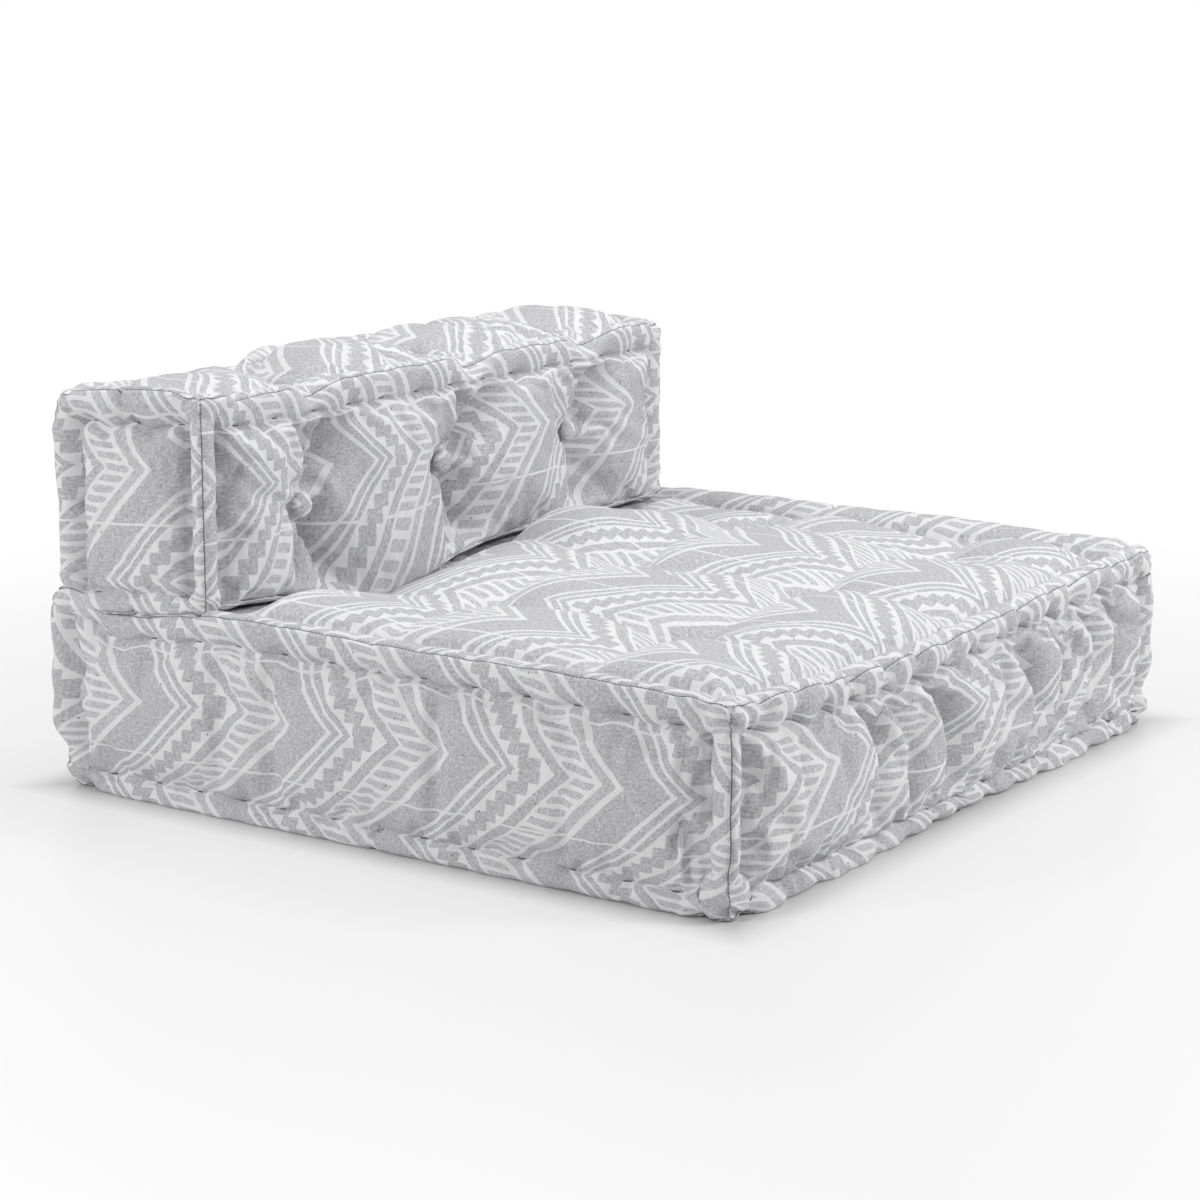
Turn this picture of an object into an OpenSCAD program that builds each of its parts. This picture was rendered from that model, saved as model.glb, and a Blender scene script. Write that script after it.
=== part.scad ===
// A two-piece sofa module: a tufted seat mattress, and a tufted bolster that stands loose along its back.
// Millimetres, +Z up, the seat's front towards -Y. The origin is on the floor, under the middle of the seat.
// Each cushion is a block of filling in six padded canvas panels, mitred where they meet under a rolled edge.

/* [Seat mattress] */
// Width of the seat over its rolled edges, left to right
seat_width = 1080; // [800:10:1400]
// Depth of the seat over its rolled edges, front to back
seat_depth = 1000; // [800:10:1400]
// Height of the seat over its rolled edges
seat_height = 245; // [200:5:320]
// How far the top's pillows stand above the rolled edges
seat_crown = 14; // [4:1:24]
// Number of tufts from left to right
seat_tufts_across = 3; // [2:1:4]
// Number of tufts from front to back
seat_tufts_deep = 3; // [2:1:4]
// Distance from the left and right sides to the nearest tufts
seat_side_margin = 240; // [180:5:260]
// Distance from the front and back to the nearest tufts
seat_front_margin = 220; // [180:5:260]
// Depth of the top's tufts below the rolled edges
seat_tuft_depth = 22; // [12:1:28]
// Depth of the underside's tufts
seat_under_depth = 14; // [10:1:20]
// Number of upright folds in the front and back boxing
seat_front_folds = 5; // [3:1:8]
// Number of upright folds in the left and right boxing
seat_side_folds = 4; // [3:1:8]
// How deep the boxing's folds are drawn in behind its puffs
fold_depth = 16; // [4:1:20]
// How far the boxing's puffs, and the bolster's ends, stand out of the rolled edges
boxing_crown = 5; // [0:1:10]

/* [Bolster] */
// Length of the bolster, left to right
bolster_length = 1000; // [700:10:1080]
// Thickness of the bolster, front to back
bolster_depth = 245; // [200:5:320]
// Height of the bolster
bolster_height = 265; // [220:5:340]
// How far its pillows swell out of the rolled edges, on the top, the front and the back
bolster_crown = 12; // [2:1:16]
// Depth of the valleys that the button tufts pull across its top
bolster_valley_depth = 12; // [4:1:18]
// Number of button tufts along the bolster
bolster_tufts = 3; // [2:1:4]
// Distance from its ends to the nearest tufts
bolster_end_margin = 210; // [170:5:260]
// Depth of its button tufts behind the rolled edges
bolster_tuft_depth = 24; // [12:1:28]
// Gap between the bolster and the seat that it stands on
stand_gap = 0.3; // [0.2:0.1:1]

/* [Rolled edges] */
// Width of the rolled edge, from the seam's plane to the stitched groove
roll_width = 38; // [28:1:44]
// Depth of the stitched groove behind the roll
roll_groove = 9; // [4:1:12]
// Width over which a panel comes back up out of the groove
shoulder_width = 25; // [16:1:30]
// Distance over which a panel swells to its full crown
swell_width = 75; // [50:5:110]
// Distance between the stitches that hold a roll
stitch_pitch = 71; // [50:1:110]
// Length of a stitch where it shows
stitch_length = 9; // [5:1:14]
// Thickness of the stitching thread
thread_thickness = 1.6; // [1:0.1:2.4]

/* [Tufting] */
// Diameter of a covered button
button_diameter = 26; // [18:1:32]
// Thickness of a covered button
button_thickness = 8; // [5:0.5:10]
// Flat rim of the dimple around a button
button_rim = 1.5; // [1:0.5:4]
// Diameter of the twine that ties two buttons
twine_diameter = 2.4; // [1.6:0.2:4]
// Clearance around a twine in the filling and the panels
twine_clearance = 0.25; // [0.1:0.05:0.6]
// Distance over which a tuft pulls the panel down
tuft_reach = 70; // [50:5:90]

/* [Filling] */
// Thickness of a padded panel over the block of filling
panel_thickness = 45; // [38:1:52]

/* [Hidden] */

canvas = "gainsboro";
boxing = "lightgray";
button_cloth = "silver";
twine_colour = "linen";
filling = "ivory";
thread_colour = "dimgray";

// A cushion is the corner where its box starts, and the size of that box over the rolled edges
seat = [[-seat_width / 2, -seat_depth / 2, 0], [seat_width, seat_depth, seat_height]];
bolster = [
    [-seat_width / 2, seat_depth / 2 - bolster_depth, seat_height + stand_gap],
    [bolster_length, bolster_depth, bolster_height]
];

// A roll is round in section, so its seam lies in from both faces by this share of its width
seam_share = 0.15;
seam_inset = roll_width * seam_share;
// How deep the underside is pressed flat by the floor
floor_press = 0.5;
// Half the width of the flat on which a button sits
button_flat = button_diameter / 2 + button_rim;
// Share of the crown that is lost along the valleys between tufts
valley_share = 0.6;
// Share of a tuft's reach at which its pull has fallen to about a third
pull_share = 0.65;
// Share of a face's free half width that its swell may take
swell_share = 0.6;
// Distance over which the seat's crown dies away in front of the bolster
press_width = 90;
// Height of a stitch above the bottom of its groove, so that it just clears both slopes
thread_gap = 0.1;
thread_rest = thread_thickness / 2 / cos(atan(roll_groove / (roll_width / 2))) + thread_gap;
// Lines of a grid that would be closer than this are left out
least_cell = 9;
// How far a cutting solid reaches past the face that it cuts
cut_over = 1;
faces_round = 48;
thread_sides = 6;

function last(list) = list[len(list) - 1];
function smooth(x) = let (c = max(0, min(1, x))) c * c * (3 - 2 * c);
function even(count, start, end) = [for (i = [0:count - 1]) start + (end - start) * i / (count - 1)];
function sorted(list) = len(list) < 2 ? list : let (pivot = list[0]) concat(
    sorted([for (x = list) if (x < pivot) x]), [pivot], sorted([for (x = list) if (x > pivot) x]));
function away(x, list, gap) = len([for (q = list) if (abs(q - x) < gap) q]) == 0;

// Tuft positions, measured from the side of the face that they are on
seat_tufts_x = even(seat_tufts_across, seat_side_margin, seat_width - seat_side_margin);
seat_tufts_y = even(seat_tufts_deep, seat_front_margin, seat_depth - seat_front_margin);
bolster_tufts_x = even(bolster_tufts, bolster_end_margin, bolster_length - bolster_end_margin);
bolster_tuft_z = bolster_height / 2;

// Section of a rolled edge: height against distance from the edge
function roll_section(e) = lookup(e, [
    [0, -seam_inset], [roll_width / 2, 0], [roll_width, -roll_groove], [roll_width + shoulder_width, 0]
]);
// Distance to the nearest edge of a face
function edge_distance(u, v, size) = min(u, size[0] - u, v, size[1] - v);
// Distance over which a face swells inside its groove: less on a narrow face, to stay clear of the tufts
function swell_reach(size) = min(swell_width, swell_share * (min(size) / 2 - roll_width - button_flat));
// Swell of a face: 0 in the groove, 1 once clear of the roll
function swell(e, size) = smooth((e - roll_width) / swell_reach(size));
// Pull of the nearest tuft line: 1 on its flat, dying away on both sides
function pull(x, centres) = max([for (c = centres)
    exp(-pow(max(0, abs(x - c) - button_flat) / (pull_share * tuft_reach), 2))]);

// Height of a tufted face: pillows with valleys along the tuft lines and a flat-bottomed dimple at each tuft
function tufted(u, v, size, tufts_u, tufts_v, crown, depth) =
    let (a = pull(u, tufts_u), b = pull(v, tufts_v), e = edge_distance(u, v, size))
    let (pillow = crown * (1 - valley_share * max(a, b)))
    let (dimple = a * b * (depth + crown * (1 - valley_share)))
    roll_section(e) + swell(e, size) * (pillow - dimple);
// Height of a face with valleys across it, pulled in by the tufts of the faces beside it
function channelled(u, v, size, tufts_u, crown, valley) = let (e = edge_distance(u, v, size))
    roll_section(e) + swell(e, size) * (crown - (crown + valley) * pull(u, tufts_u));
// Height of boxing that is gathered into upright folds, with puffs between them
function folded(u, v, size, folds) =
    let (e = edge_distance(u, v, size), fold = (1 + cos(360 * u * folds / size[0])) / 2)
    roll_section(e) + swell(e, size) * (boxing_crown - fold_depth * fold);
// Height of a face that lies flat inside its rolled edge
function flat_face(u, v, size, press) =
    let (e = edge_distance(u, v, size)) roll_section(e) + (e > 0 ? press : 0);

// Grid lines across a face: the rolled edges and the tufts' flats, and what else fits between them
function edge_lines(length) = let (near = [0, roll_width / 2, roll_width, roll_width + shoulder_width])
    concat(near, [for (x = near) length - x]);
function tuft_lines(tufts) = [for (c = tufts, side = [-1, 1]) c + side * button_flat];
function reach_lines(tufts) = [for (c = tufts, side = [-1, 1]) c + side * tuft_reach];
function middle_lines(tufts) = len(tufts) < 2 ? [] :
    [for (i = [1:len(tufts) - 1]) (tufts[i - 1] + tufts[i]) / 2];
function grid_lines(needed, wanted) =
    let (fitting = [for (x = wanted) if (away(x, needed, least_cell)) x])
    let (all = sorted(concat(needed, fitting)))
    [for (i = [0:len(all) - 1]) if (i == 0 || all[i] - all[i - 1] > least_cell / 2) all[i]];
function crest_lines(length, size) = let (e = roll_width + swell_reach(size)) [e, length - e];
function tufted_lines(length, tufts, size) = grid_lines(concat(edge_lines(length), tuft_lines(tufts)),
    concat(crest_lines(length, size), reach_lines(tufts), middle_lines(tufts)));
function plain_lines(length) = grid_lines(edge_lines(length), [length / 2]);
function folded_lines(length, folds) =
    let (turns = [for (i = [1:2 * folds - 1]) length * i / (2 * folds)])
    grid_lines(edge_lines(length), [for (x = turns) if (min(x, length - x) > roll_width) x]);

// One padded panel, from the box's corner: the outside follows a height function, the inside is flat,
// and the four sides are mitred at 45 degrees so that neighbours meet face to face under the rolled edge
module panel(us, vs, height) {
    nu = len(us);
    nv = len(vs);
    lu = last(us);
    lv = last(vs);
    t = panel_thickness;
    outside = [for (u = us, v = vs) [
        max(seam_inset, min(lu - seam_inset, u)), max(seam_inset, min(lv - seam_inset, v)), height(u, v)
    ]];
    inside = [[t, t, -t], [lu - t, t, -t], [lu - t, lv - t, -t], [t, lv - t, -t]];
    corner = len(outside);
    at = function (i, j) i * nv + j;
    skin = [for (i = [0:nu - 2], j = [0:nv - 2])
        let (a = at(i, j), b = at(i, j + 1), c = at(i + 1, j + 1), d = at(i + 1, j),
            rising = (us[i] + us[i + 1] - lu) * (vs[j] + vs[j + 1] - lv) > 0)
        each rising ? [[a, b, d], [b, c, d]] : [[a, b, c], [a, c, d]]];
    sides = [
        [for (i = [0:nu - 1]) at(i, 0)],
        [for (j = [0:nv - 1]) at(nu - 1, j)],
        [for (i = [nu - 1:-1:0]) at(i, nv - 1)],
        [for (j = [nv - 1:-1:0]) at(0, j)]
    ];
    mitres = [for (s = [0:3])
        let (run = sides[s], half = floor(len(run) / 2), a = corner + s, b = corner + (s + 1) % 4)
        let (fan = [for (i = [0:len(run) - 2]) [run[i], run[i + 1], i < half ? a : b]])
        each concat(fan, [[run[half], b, a]])];
    backing = [[corner, corner + 1, corner + 2], [corner, corner + 2, corner + 3]];
    polyhedron(concat(outside, inside), concat(skin, mitres, backing));
}

// Places a face's own axes on a cushion: across it, along it and outwards
module on_top(c) translate([c[0][0], c[0][1], c[0][2] + c[1][2]]) children();
module on_bottom(c) translate([c[0][0], c[0][1] + c[1][1], c[0][2]]) rotate([180, 0, 0]) children();
module on_front(c) translate(c[0]) rotate([90, 0, 0]) children();
module on_back(c) translate([c[0][0] + c[1][0], c[0][1] + c[1][1], c[0][2]]) rotate([90, 0, 180]) children();
module on_left(c) translate([c[0][0], c[0][1] + c[1][1], c[0][2]]) rotate([90, 0, -90]) children();
module on_right(c) translate([c[0][0] + c[1][0], c[0][1], c[0][2]]) rotate([90, 0, 90]) children();

// The block of filling inside a cushion's panels
module block(c) translate(c[0] + panel_thickness * [1, 1, 1]) cube(c[1] - 2 * panel_thickness * [1, 1, 1]);

// Upright holes for the seat's twines, and level ones for the bolster's
module seat_twine_row(diameter, start, end) for (x = seat_tufts_x, y = seat_tufts_y)
    translate(seat[0] + [x, y, start]) cylinder(d = diameter, h = end - start, $fn = faces_round);
module bolster_twine_row(diameter, start, end) for (x = bolster_tufts_x)
    translate(bolster[0] + [x, end, bolster_tuft_z]) rotate([90, 0, 0])
        cylinder(d = diameter, h = end - start, $fn = faces_round);
module seat_twine_holes() seat_twine_row(twine_diameter + 2 * twine_clearance, -cut_over, seat_height);
module bolster_twine_holes() bolster_twine_row(twine_diameter + 2 * twine_clearance, 0, bolster_depth);

// A covered button, with its back at the origin
module tuft_button() {
    r = button_diameter / 2;
    rim = button_thickness / 3;
    dome = [for (a = [0:15:90]) [r * cos(a), rim + (button_thickness - rim) * sin(a)]];
    rotate_extrude($fn = faces_round) polygon(concat([[0, 0], [r - rim / 2, 0]], dome));
}

// The hollow of a tuft on the underside, opening upwards from the origin
module under_tuft() {
    h = seat_under_depth + cut_over;
    translate([0, 0, -seat_under_depth])
        cylinder(h = h, r1 = button_flat, r2 = button_flat + h, $fn = faces_round);
}

// The stitches along one groove of a boxing panel, which lies at height v of that panel
module stitch_row(length, v) {
    room = length - 2 * roll_width - stitch_length;
    gaps = max(1, floor(room / stitch_pitch));
    for (i = [0:gaps]) translate([length / 2 + (i - gaps / 2) * stitch_pitch, v, thread_rest - roll_groove])
        rotate([0, 90, 0])
            cylinder(d = thread_thickness, h = stitch_length, center = true, $fn = thread_sides);
}
module stitches_round(c, v) {
    on_front(c) stitch_row(c[1][0], v);
    on_back(c) stitch_row(c[1][0], v);
    on_left(c) stitch_row(c[1][1], v);
    on_right(c) stitch_row(c[1][1], v);
}

module folded_panel(length, height, folds)
    panel(folded_lines(length, folds), plain_lines(height),
        function (u, v) folded(u, v, [length, height], folds));

module seat_filling() color(filling) difference() {
    block(seat);
    seat_twine_holes();
}
// Share of the seat's crown that is left at a distance from the front, with the bolster's weight behind it
function seat_crown_at(v) = seat_crown * smooth((seat_depth - bolster_depth - v) / press_width);
module seat_top_panel() color(canvas) difference() {
    size = [seat_width, seat_depth];
    across = tufted_lines(seat_width, seat_tufts_x, size);
    along = tufted_lines(seat_depth, seat_tufts_y, size);
    on_top(seat) panel(across, along,
        function (u, v) tufted(u, v, size, seat_tufts_x, seat_tufts_y, seat_crown_at(v), seat_tuft_depth));
    seat_twine_holes();
}
module seat_bottom_panel() color(boxing) difference() {
    size = [seat_width, seat_depth];
    on_bottom(seat) panel(plain_lines(seat_width), plain_lines(seat_depth),
        function (u, v) flat_face(u, v, size, floor_press));
    on_bottom(seat) for (x = seat_tufts_x, y = seat_tufts_y) translate([x, seat_depth - y, 0]) under_tuft();
    translate([-seat_width, -seat_depth, -cut_over]) cube([2 * seat_width, 2 * seat_depth, cut_over]);
    seat_twine_holes();
}
module seat_front_panel() color(boxing)
    on_front(seat) folded_panel(seat_width, seat_height, seat_front_folds);
module seat_back_panel() color(boxing)
    on_back(seat) folded_panel(seat_width, seat_height, seat_front_folds);
module seat_left_panel() color(boxing)
    on_left(seat) folded_panel(seat_depth, seat_height, seat_side_folds);
module seat_right_panel() color(boxing)
    on_right(seat) folded_panel(seat_depth, seat_height, seat_side_folds);
module seat_top_buttons() color(button_cloth) on_top(seat) for (x = seat_tufts_x, y = seat_tufts_y)
    translate([x, y, -seat_tuft_depth]) tuft_button();
module seat_bottom_buttons() color(button_cloth) on_bottom(seat) for (x = seat_tufts_x, y = seat_tufts_y)
    translate([x, seat_depth - y, -seat_under_depth]) tuft_button();
module seat_tuft_twines() color(twine_colour)
    seat_twine_row(twine_diameter, seat_under_depth, seat_height - seat_tuft_depth);
module seat_upper_stitches() color(thread_colour) stitches_round(seat, seat_height - roll_width);
module seat_lower_stitches() color(thread_colour) stitches_round(seat, roll_width);

module bolster_filling() color(filling) difference() {
    block(bolster);
    bolster_twine_holes();
}
module bolster_top_panel() color(canvas) on_top(bolster) {
    size = [bolster_length, bolster_depth];
    tufts = bolster_tufts_x;
    across = concat(tufts, crest_lines(bolster_length, size), reach_lines(tufts), middle_lines(tufts));
    panel(grid_lines(edge_lines(bolster_length), across), plain_lines(bolster_depth),
        function (u, v) channelled(u, v, size, tufts, bolster_crown, bolster_valley_depth));
}
module bolster_bottom_panel() color(boxing) on_bottom(bolster)
    panel(plain_lines(bolster_length), plain_lines(bolster_depth),
        function (u, v) flat_face(u, v, [bolster_length, bolster_depth], 0));
module bolster_tufted_panel(tufts) {
    size = [bolster_length, bolster_height];
    panel(tufted_lines(bolster_length, tufts, size), tufted_lines(bolster_height, [bolster_tuft_z], size),
        function (u, v) tufted(u, v, size, tufts, [bolster_tuft_z], bolster_crown, bolster_tuft_depth));
}
module bolster_front_panel() color(boxing) difference() {
    on_front(bolster) bolster_tufted_panel(bolster_tufts_x);
    bolster_twine_holes();
}
module bolster_back_panel() color(boxing) difference() {
    on_back(bolster) bolster_tufted_panel([for (x = bolster_tufts_x) bolster_length - x]);
    bolster_twine_holes();
}
module bolster_end_panel() panel(plain_lines(bolster_depth), plain_lines(bolster_height),
    function (u, v) channelled(u, v, [bolster_depth, bolster_height], [-bolster_depth], boxing_crown, 0));
module bolster_left_panel() color(boxing) on_left(bolster) bolster_end_panel();
module bolster_right_panel() color(boxing) on_right(bolster) bolster_end_panel();
module bolster_front_buttons() color(button_cloth) on_front(bolster) for (x = bolster_tufts_x)
    translate([x, bolster_tuft_z, -bolster_tuft_depth]) tuft_button();
module bolster_back_buttons() color(button_cloth) on_back(bolster) for (x = bolster_tufts_x)
    translate([bolster_length - x, bolster_tuft_z, -bolster_tuft_depth]) tuft_button();
module bolster_tuft_twines() color(twine_colour)
    bolster_twine_row(twine_diameter, bolster_tuft_depth, bolster_depth - bolster_tuft_depth);
module bolster_upper_stitches() color(thread_colour) stitches_round(bolster, bolster_height - roll_width);
module bolster_lower_stitches() color(thread_colour) stitches_round(bolster, roll_width);

seat_filling();
seat_top_panel();
seat_bottom_panel();
seat_front_panel();
seat_back_panel();
seat_left_panel();
seat_right_panel();
seat_top_buttons();
seat_bottom_buttons();
seat_tuft_twines();
seat_upper_stitches();
seat_lower_stitches();
bolster_filling();
bolster_top_panel();
bolster_bottom_panel();
bolster_front_panel();
bolster_back_panel();
bolster_left_panel();
bolster_right_panel();
bolster_front_buttons();
bolster_back_buttons();
bolster_tuft_twines();
bolster_upper_stitches();
bolster_lower_stitches();
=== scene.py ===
# %% [markdown]
# # A tufted floor-sofa module
# The real object is two hand-made cushions in printed cotton canvas: a thick seat mattress, and a bolster
# that stands loose along its back. Each is stuffed hard, its edges are rolled and sewn through, and buttons
# on twine pull tufts into it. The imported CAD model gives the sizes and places, and this script dresses it.

import math

import bpy
import numpy as np
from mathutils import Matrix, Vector


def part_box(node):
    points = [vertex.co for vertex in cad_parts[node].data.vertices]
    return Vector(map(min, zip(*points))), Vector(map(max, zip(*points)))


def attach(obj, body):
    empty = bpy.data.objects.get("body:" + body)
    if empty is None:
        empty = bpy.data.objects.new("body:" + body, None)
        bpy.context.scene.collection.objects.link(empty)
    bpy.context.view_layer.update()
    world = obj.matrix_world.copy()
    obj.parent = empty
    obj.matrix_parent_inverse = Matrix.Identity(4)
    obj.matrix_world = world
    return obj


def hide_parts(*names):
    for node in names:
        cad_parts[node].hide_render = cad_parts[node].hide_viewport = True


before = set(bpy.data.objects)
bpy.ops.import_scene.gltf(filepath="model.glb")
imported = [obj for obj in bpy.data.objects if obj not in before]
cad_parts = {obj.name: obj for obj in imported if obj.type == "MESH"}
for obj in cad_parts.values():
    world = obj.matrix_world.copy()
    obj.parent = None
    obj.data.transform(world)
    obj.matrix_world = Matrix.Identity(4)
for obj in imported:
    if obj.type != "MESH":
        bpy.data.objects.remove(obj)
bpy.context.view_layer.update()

# %% [markdown]
# The photograph was taken from the left of the sofa and a little above it, with a long lens. A long lens
# keeps far edges nearly parallel to near ones, so the focal length matters as much as the place. Both were
# fitted to the corners of the two cushions. The camera is set first.

# %% Camera
CAMERA_PLACE = Vector((-3.1634, -2.1448, 1.0393))
CAMERA_YAW = 0.9649
CAMERA_PITCH = 0.2147
CAMERA_LENS = 89.1

ahead = Vector((math.sin(CAMERA_YAW) * math.cos(CAMERA_PITCH), math.cos(CAMERA_YAW) * math.cos(CAMERA_PITCH),
                -math.sin(CAMERA_PITCH)))
camera = bpy.data.objects.new("camera", bpy.data.cameras.new("camera"))
camera.data.lens = CAMERA_LENS
camera.location = CAMERA_PLACE
camera.rotation_euler = ahead.to_track_quat("-Z", "Y").to_euler()
bpy.context.scene.collection.objects.link(camera)
bpy.context.scene.camera = camera

# %% [markdown]
# Both cushions are boxes before they are anything else. The frame gives each block of filling, and the
# padded panels stand a known thickness outside it.

# %% The two boxes
PANEL_THICKNESS = 0.045
FACES = ("top", "bottom", "front", "back", "left", "right")


def rolled_box(filling):
    """Lowest and highest corner of a cushion over its rolled edges: its filling's box, grown by a panel."""
    low, high = (np.array(corner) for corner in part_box(filling))
    return low - PANEL_THICKNESS, high + PANEL_THICKNESS


SEAT = rolled_box("seat_filling")
BOLSTER = rolled_box("bolster_filling")
for name, (low, high) in (("seat", SEAT), ("bolster", BOLSTER)):
    print(name, "box:", low.round(4), high.round(4))

# %% [markdown]
# A cover is sewn from six panels. As a surface it is the skin of a lattice box: a point has three lattice
# numbers, and at least one of them is at its end. Each panel is one side of that lattice, so neighbours
# share the points on their seam exactly, and no welding is needed. Lines crowd together near the seams,
# where the rolls bend fast.

# %% Lattice lines and panel frames
ROLL_WIDTH = 0.038
SEAM_LINE = 0.0015
ROLL_LINES = np.linspace(0.006, ROLL_WIDTH, 9)
SHOULDER_LINES = np.linspace(0.042, 0.078, 10)
EDGE_LINES = np.concatenate(([0.0, SEAM_LINE], ROLL_LINES, SHOULDER_LINES))
GROOVE_LINE = 1 + len(ROLL_LINES)


def lattice_lines(length, step):
    """Distances along one side: the edge lines, even steps of about the given size, and edge lines again."""
    middle = length - 2 * EDGE_LINES[-1]
    cells = 2 * max(1, round(middle / step / 2))
    inner = EDGE_LINES[-1] + middle * np.arange(1, cells) / cells
    return np.concatenate((EDGE_LINES, inner, length - EDGE_LINES[::-1]))


def panel_frame(box, face):
    """Corner, width axis, height axis and outward axis of one side, so that width x height = outward."""
    (x0, y0, z0), (x1, y1, z1) = box
    corner, across, up = {
        "top": ((x0, y0, z1), (1, 0, 0), (0, 1, 0)),
        "bottom": ((x0, y1, z0), (1, 0, 0), (0, -1, 0)),
        "front": ((x0, y0, z0), (1, 0, 0), (0, 0, 1)),
        "back": ((x1, y1, z0), (-1, 0, 0), (0, 0, 1)),
        "left": ((x0, y1, z0), (0, -1, 0), (0, 0, 1)),
        "right": ((x1, y0, z0), (0, 1, 0), (0, 0, 1)),
    }[face]
    return np.array(corner), np.array(across, float), np.array(up, float), np.cross(across, up).astype(float)


def panel_slices(ids):
    """The lattice's point numbers on each face, first index along the width and second along the height."""
    return {
        "top": ids[:, :, -1], "bottom": ids[:, ::-1, 0], "front": ids[:, 0, :], "back": ids[::-1, -1, :],
        "left": ids[0, ::-1, :], "right": ids[-1, :, :],
    }


# %% [markdown]
# A rolled edge is a rope of fibre, sewn into the border of the cushion with long stitches. Its section is a
# round of 38 mm that starts at the seam on the corner, comes over the top and dives into a groove. From the
# groove the panel swells up again like a pillow, steeply at first. All of that is a height above the box's
# side that depends on the distance to the nearest edge.

# %% The section of a rolled edge
ROLL_RADIUS = ROLL_WIDTH / 2
SEAM_ANGLE = math.radians(45)
GROOVE_ANGLE = math.radians(62)
GROOVE_DEPTH = ROLL_RADIUS * (1 - math.cos(GROOVE_ANGLE))
GROOVE_PLACE = ROLL_RADIUS * (1 + math.sin(GROOVE_ANGLE))
CORNER_BLEND = 0.0025


def smooth(x):
    """The smooth step: 0 below 0, 1 above 1, and 3x^2 - 2x^3 between."""
    x = np.clip(x, 0, 1)
    return x * x * (3 - 2 * x)


def pillow(x):
    """A quarter of a circle: rises straight up at 0 and is level from 1 on."""
    return np.sqrt(1 - (1 - np.clip(x, 0, 1)) ** 2)


def roll_angle(e):
    """Direction from the roll's core to the canvas: 45 degrees at the seam, over the top, to the groove."""
    return SEAM_ANGLE - np.clip(e / ROLL_WIDTH, 0, 1) * (SEAM_ANGLE + GROOVE_ANGLE)


def place_across(u, length):
    """Place of a point of canvas along its side: round the rolls, and evenly between the grooves."""
    e = np.minimum(u, length - u)
    on_roll = ROLL_RADIUS * (1 - np.sin(roll_angle(e)))
    stretch = (length / 2 - GROOVE_PLACE) / (length / 2 - ROLL_WIDTH)
    place = np.where(e < ROLL_WIDTH, on_roll, GROOVE_PLACE + (e - ROLL_WIDTH) * stretch)
    return np.where(u < length / 2, place, length - place)


# %% [markdown]
# Hand-sewn canvas is never even. A few plane waves with seeded directions and phases, added up, give a
# smooth unevenness of a chosen wavelength, the same in each run.

# %% Unevenness and creases
WAVE_COUNT = 7
WAVE_LENGTHS = 0.7, 1.5
WAVE_PEAK = 1.6
FURROW, RIDGE, RIDGE_WIDTH = 1.3, 0.45, 2.2


def waves(x, y, length, seed):
    """Smooth noise between about -1 and 1: a sum of plane waves whose lengths are near the one given."""
    draw = np.random.default_rng(seed)
    angle, phase = draw.uniform(0, 2 * np.pi, (2, WAVE_COUNT))
    turn = 2 * np.pi / (length * draw.uniform(*WAVE_LENGTHS, WAVE_COUNT))
    parts = [np.sin(k * (x * math.cos(a) + y * math.sin(a)) + p) for a, p, k in zip(angle, phase, turn)]
    return np.sum(parts, axis=0) * math.sqrt(2 / WAVE_COUNT) / WAVE_PEAK


def crease(x, y, start, end, bend, width, depth):
    """One fold drawn into canvas from start to end: a bell across the line, tapered at its ends, and a low
    ridge on both sides of it. The line is a parabola that stands off its chord by bend."""
    start, end = np.array(start), np.array(end)
    length = np.linalg.norm(end - start)
    along_axis = (end - start) / length
    t = ((x - start[0]) * along_axis[0] + (y - start[1]) * along_axis[1]) / length
    d = (y - start[1]) * along_axis[0] - (x - start[0]) * along_axis[1] - bend * 4 * t * (1 - t)
    taper = np.sqrt(np.clip(4 * t * (1 - t), 0, 1))
    ridges = RIDGE * np.exp(-(d / (RIDGE_WIDTH * width)) ** 2)
    return taper * depth * (ridges - FURROW * np.exp(-(d / width) ** 2))


# %% [markdown]
# Along each roll the stitches bite every 71 mm. There the groove is deep and the roll is nipped, and
# between them both swell. Both panels of a seam have to agree on how far it is nipped, so that is a
# function of the edge and of the place along it on the sofa's own axes, and not of the panel.

# %% Stitches and nips along the edges
STITCH_PITCH = 0.071
STITCH_JITTER = 0.005
STITCH_LENGTH = 0.009
NIP_WIDTH = 0.011
SEAM_BELL, DROOP_BELL, GROOVE_BELL = 1.5 * NIP_WIDTH, 2.2 * NIP_WIDTH, 1.3 * NIP_WIDTH
NIP_END = 0.03
SEAM_SINK = 0.0014
ROLL_SWELL = 0.008
LONG_WAVE = 0.003
UNEVEN = 0.35
DROOP = 0.003


def stitch_places(low, high, seed, shift):
    """Places of the stitches along an edge: even steps about its middle, each off by a few millimetres."""
    room = high - low - 2 * ROLL_WIDTH - STITCH_LENGTH
    gaps = int(room // STITCH_PITCH)
    regular = (low + high) / 2 + (np.arange(gaps + 1) - gaps / 2) * STITCH_PITCH + shift
    return regular + np.random.default_rng(seed).uniform(-STITCH_JITTER, STITCH_JITTER, gaps + 1)


def nips(s, places, width):
    """How close a place along the edge is to a stitch: 1 at each, in a bell of the given width."""
    return np.exp(-((s[..., None] - places) / width) ** 2).max(axis=-1)


def edge_seed(face_a, face_b):
    """One number for the edge between two faces, the same whichever is named first."""
    first, second = sorted(FACES.index(face) for face in (face_a, face_b))
    return 10 * first + second


def pair(face_a, face_b):
    """Name of the edge between two faces."""
    return frozenset((face_a, face_b))


# %% [markdown]
# A panel's height is put together from its nearest edge. Depth of the groove, softness of the shoulder and
# crown are blended where two edges meet, so that the mitre of a corner has no step. A crease is left along
# the mitre: there the two ropes are sewn end to end.

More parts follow.
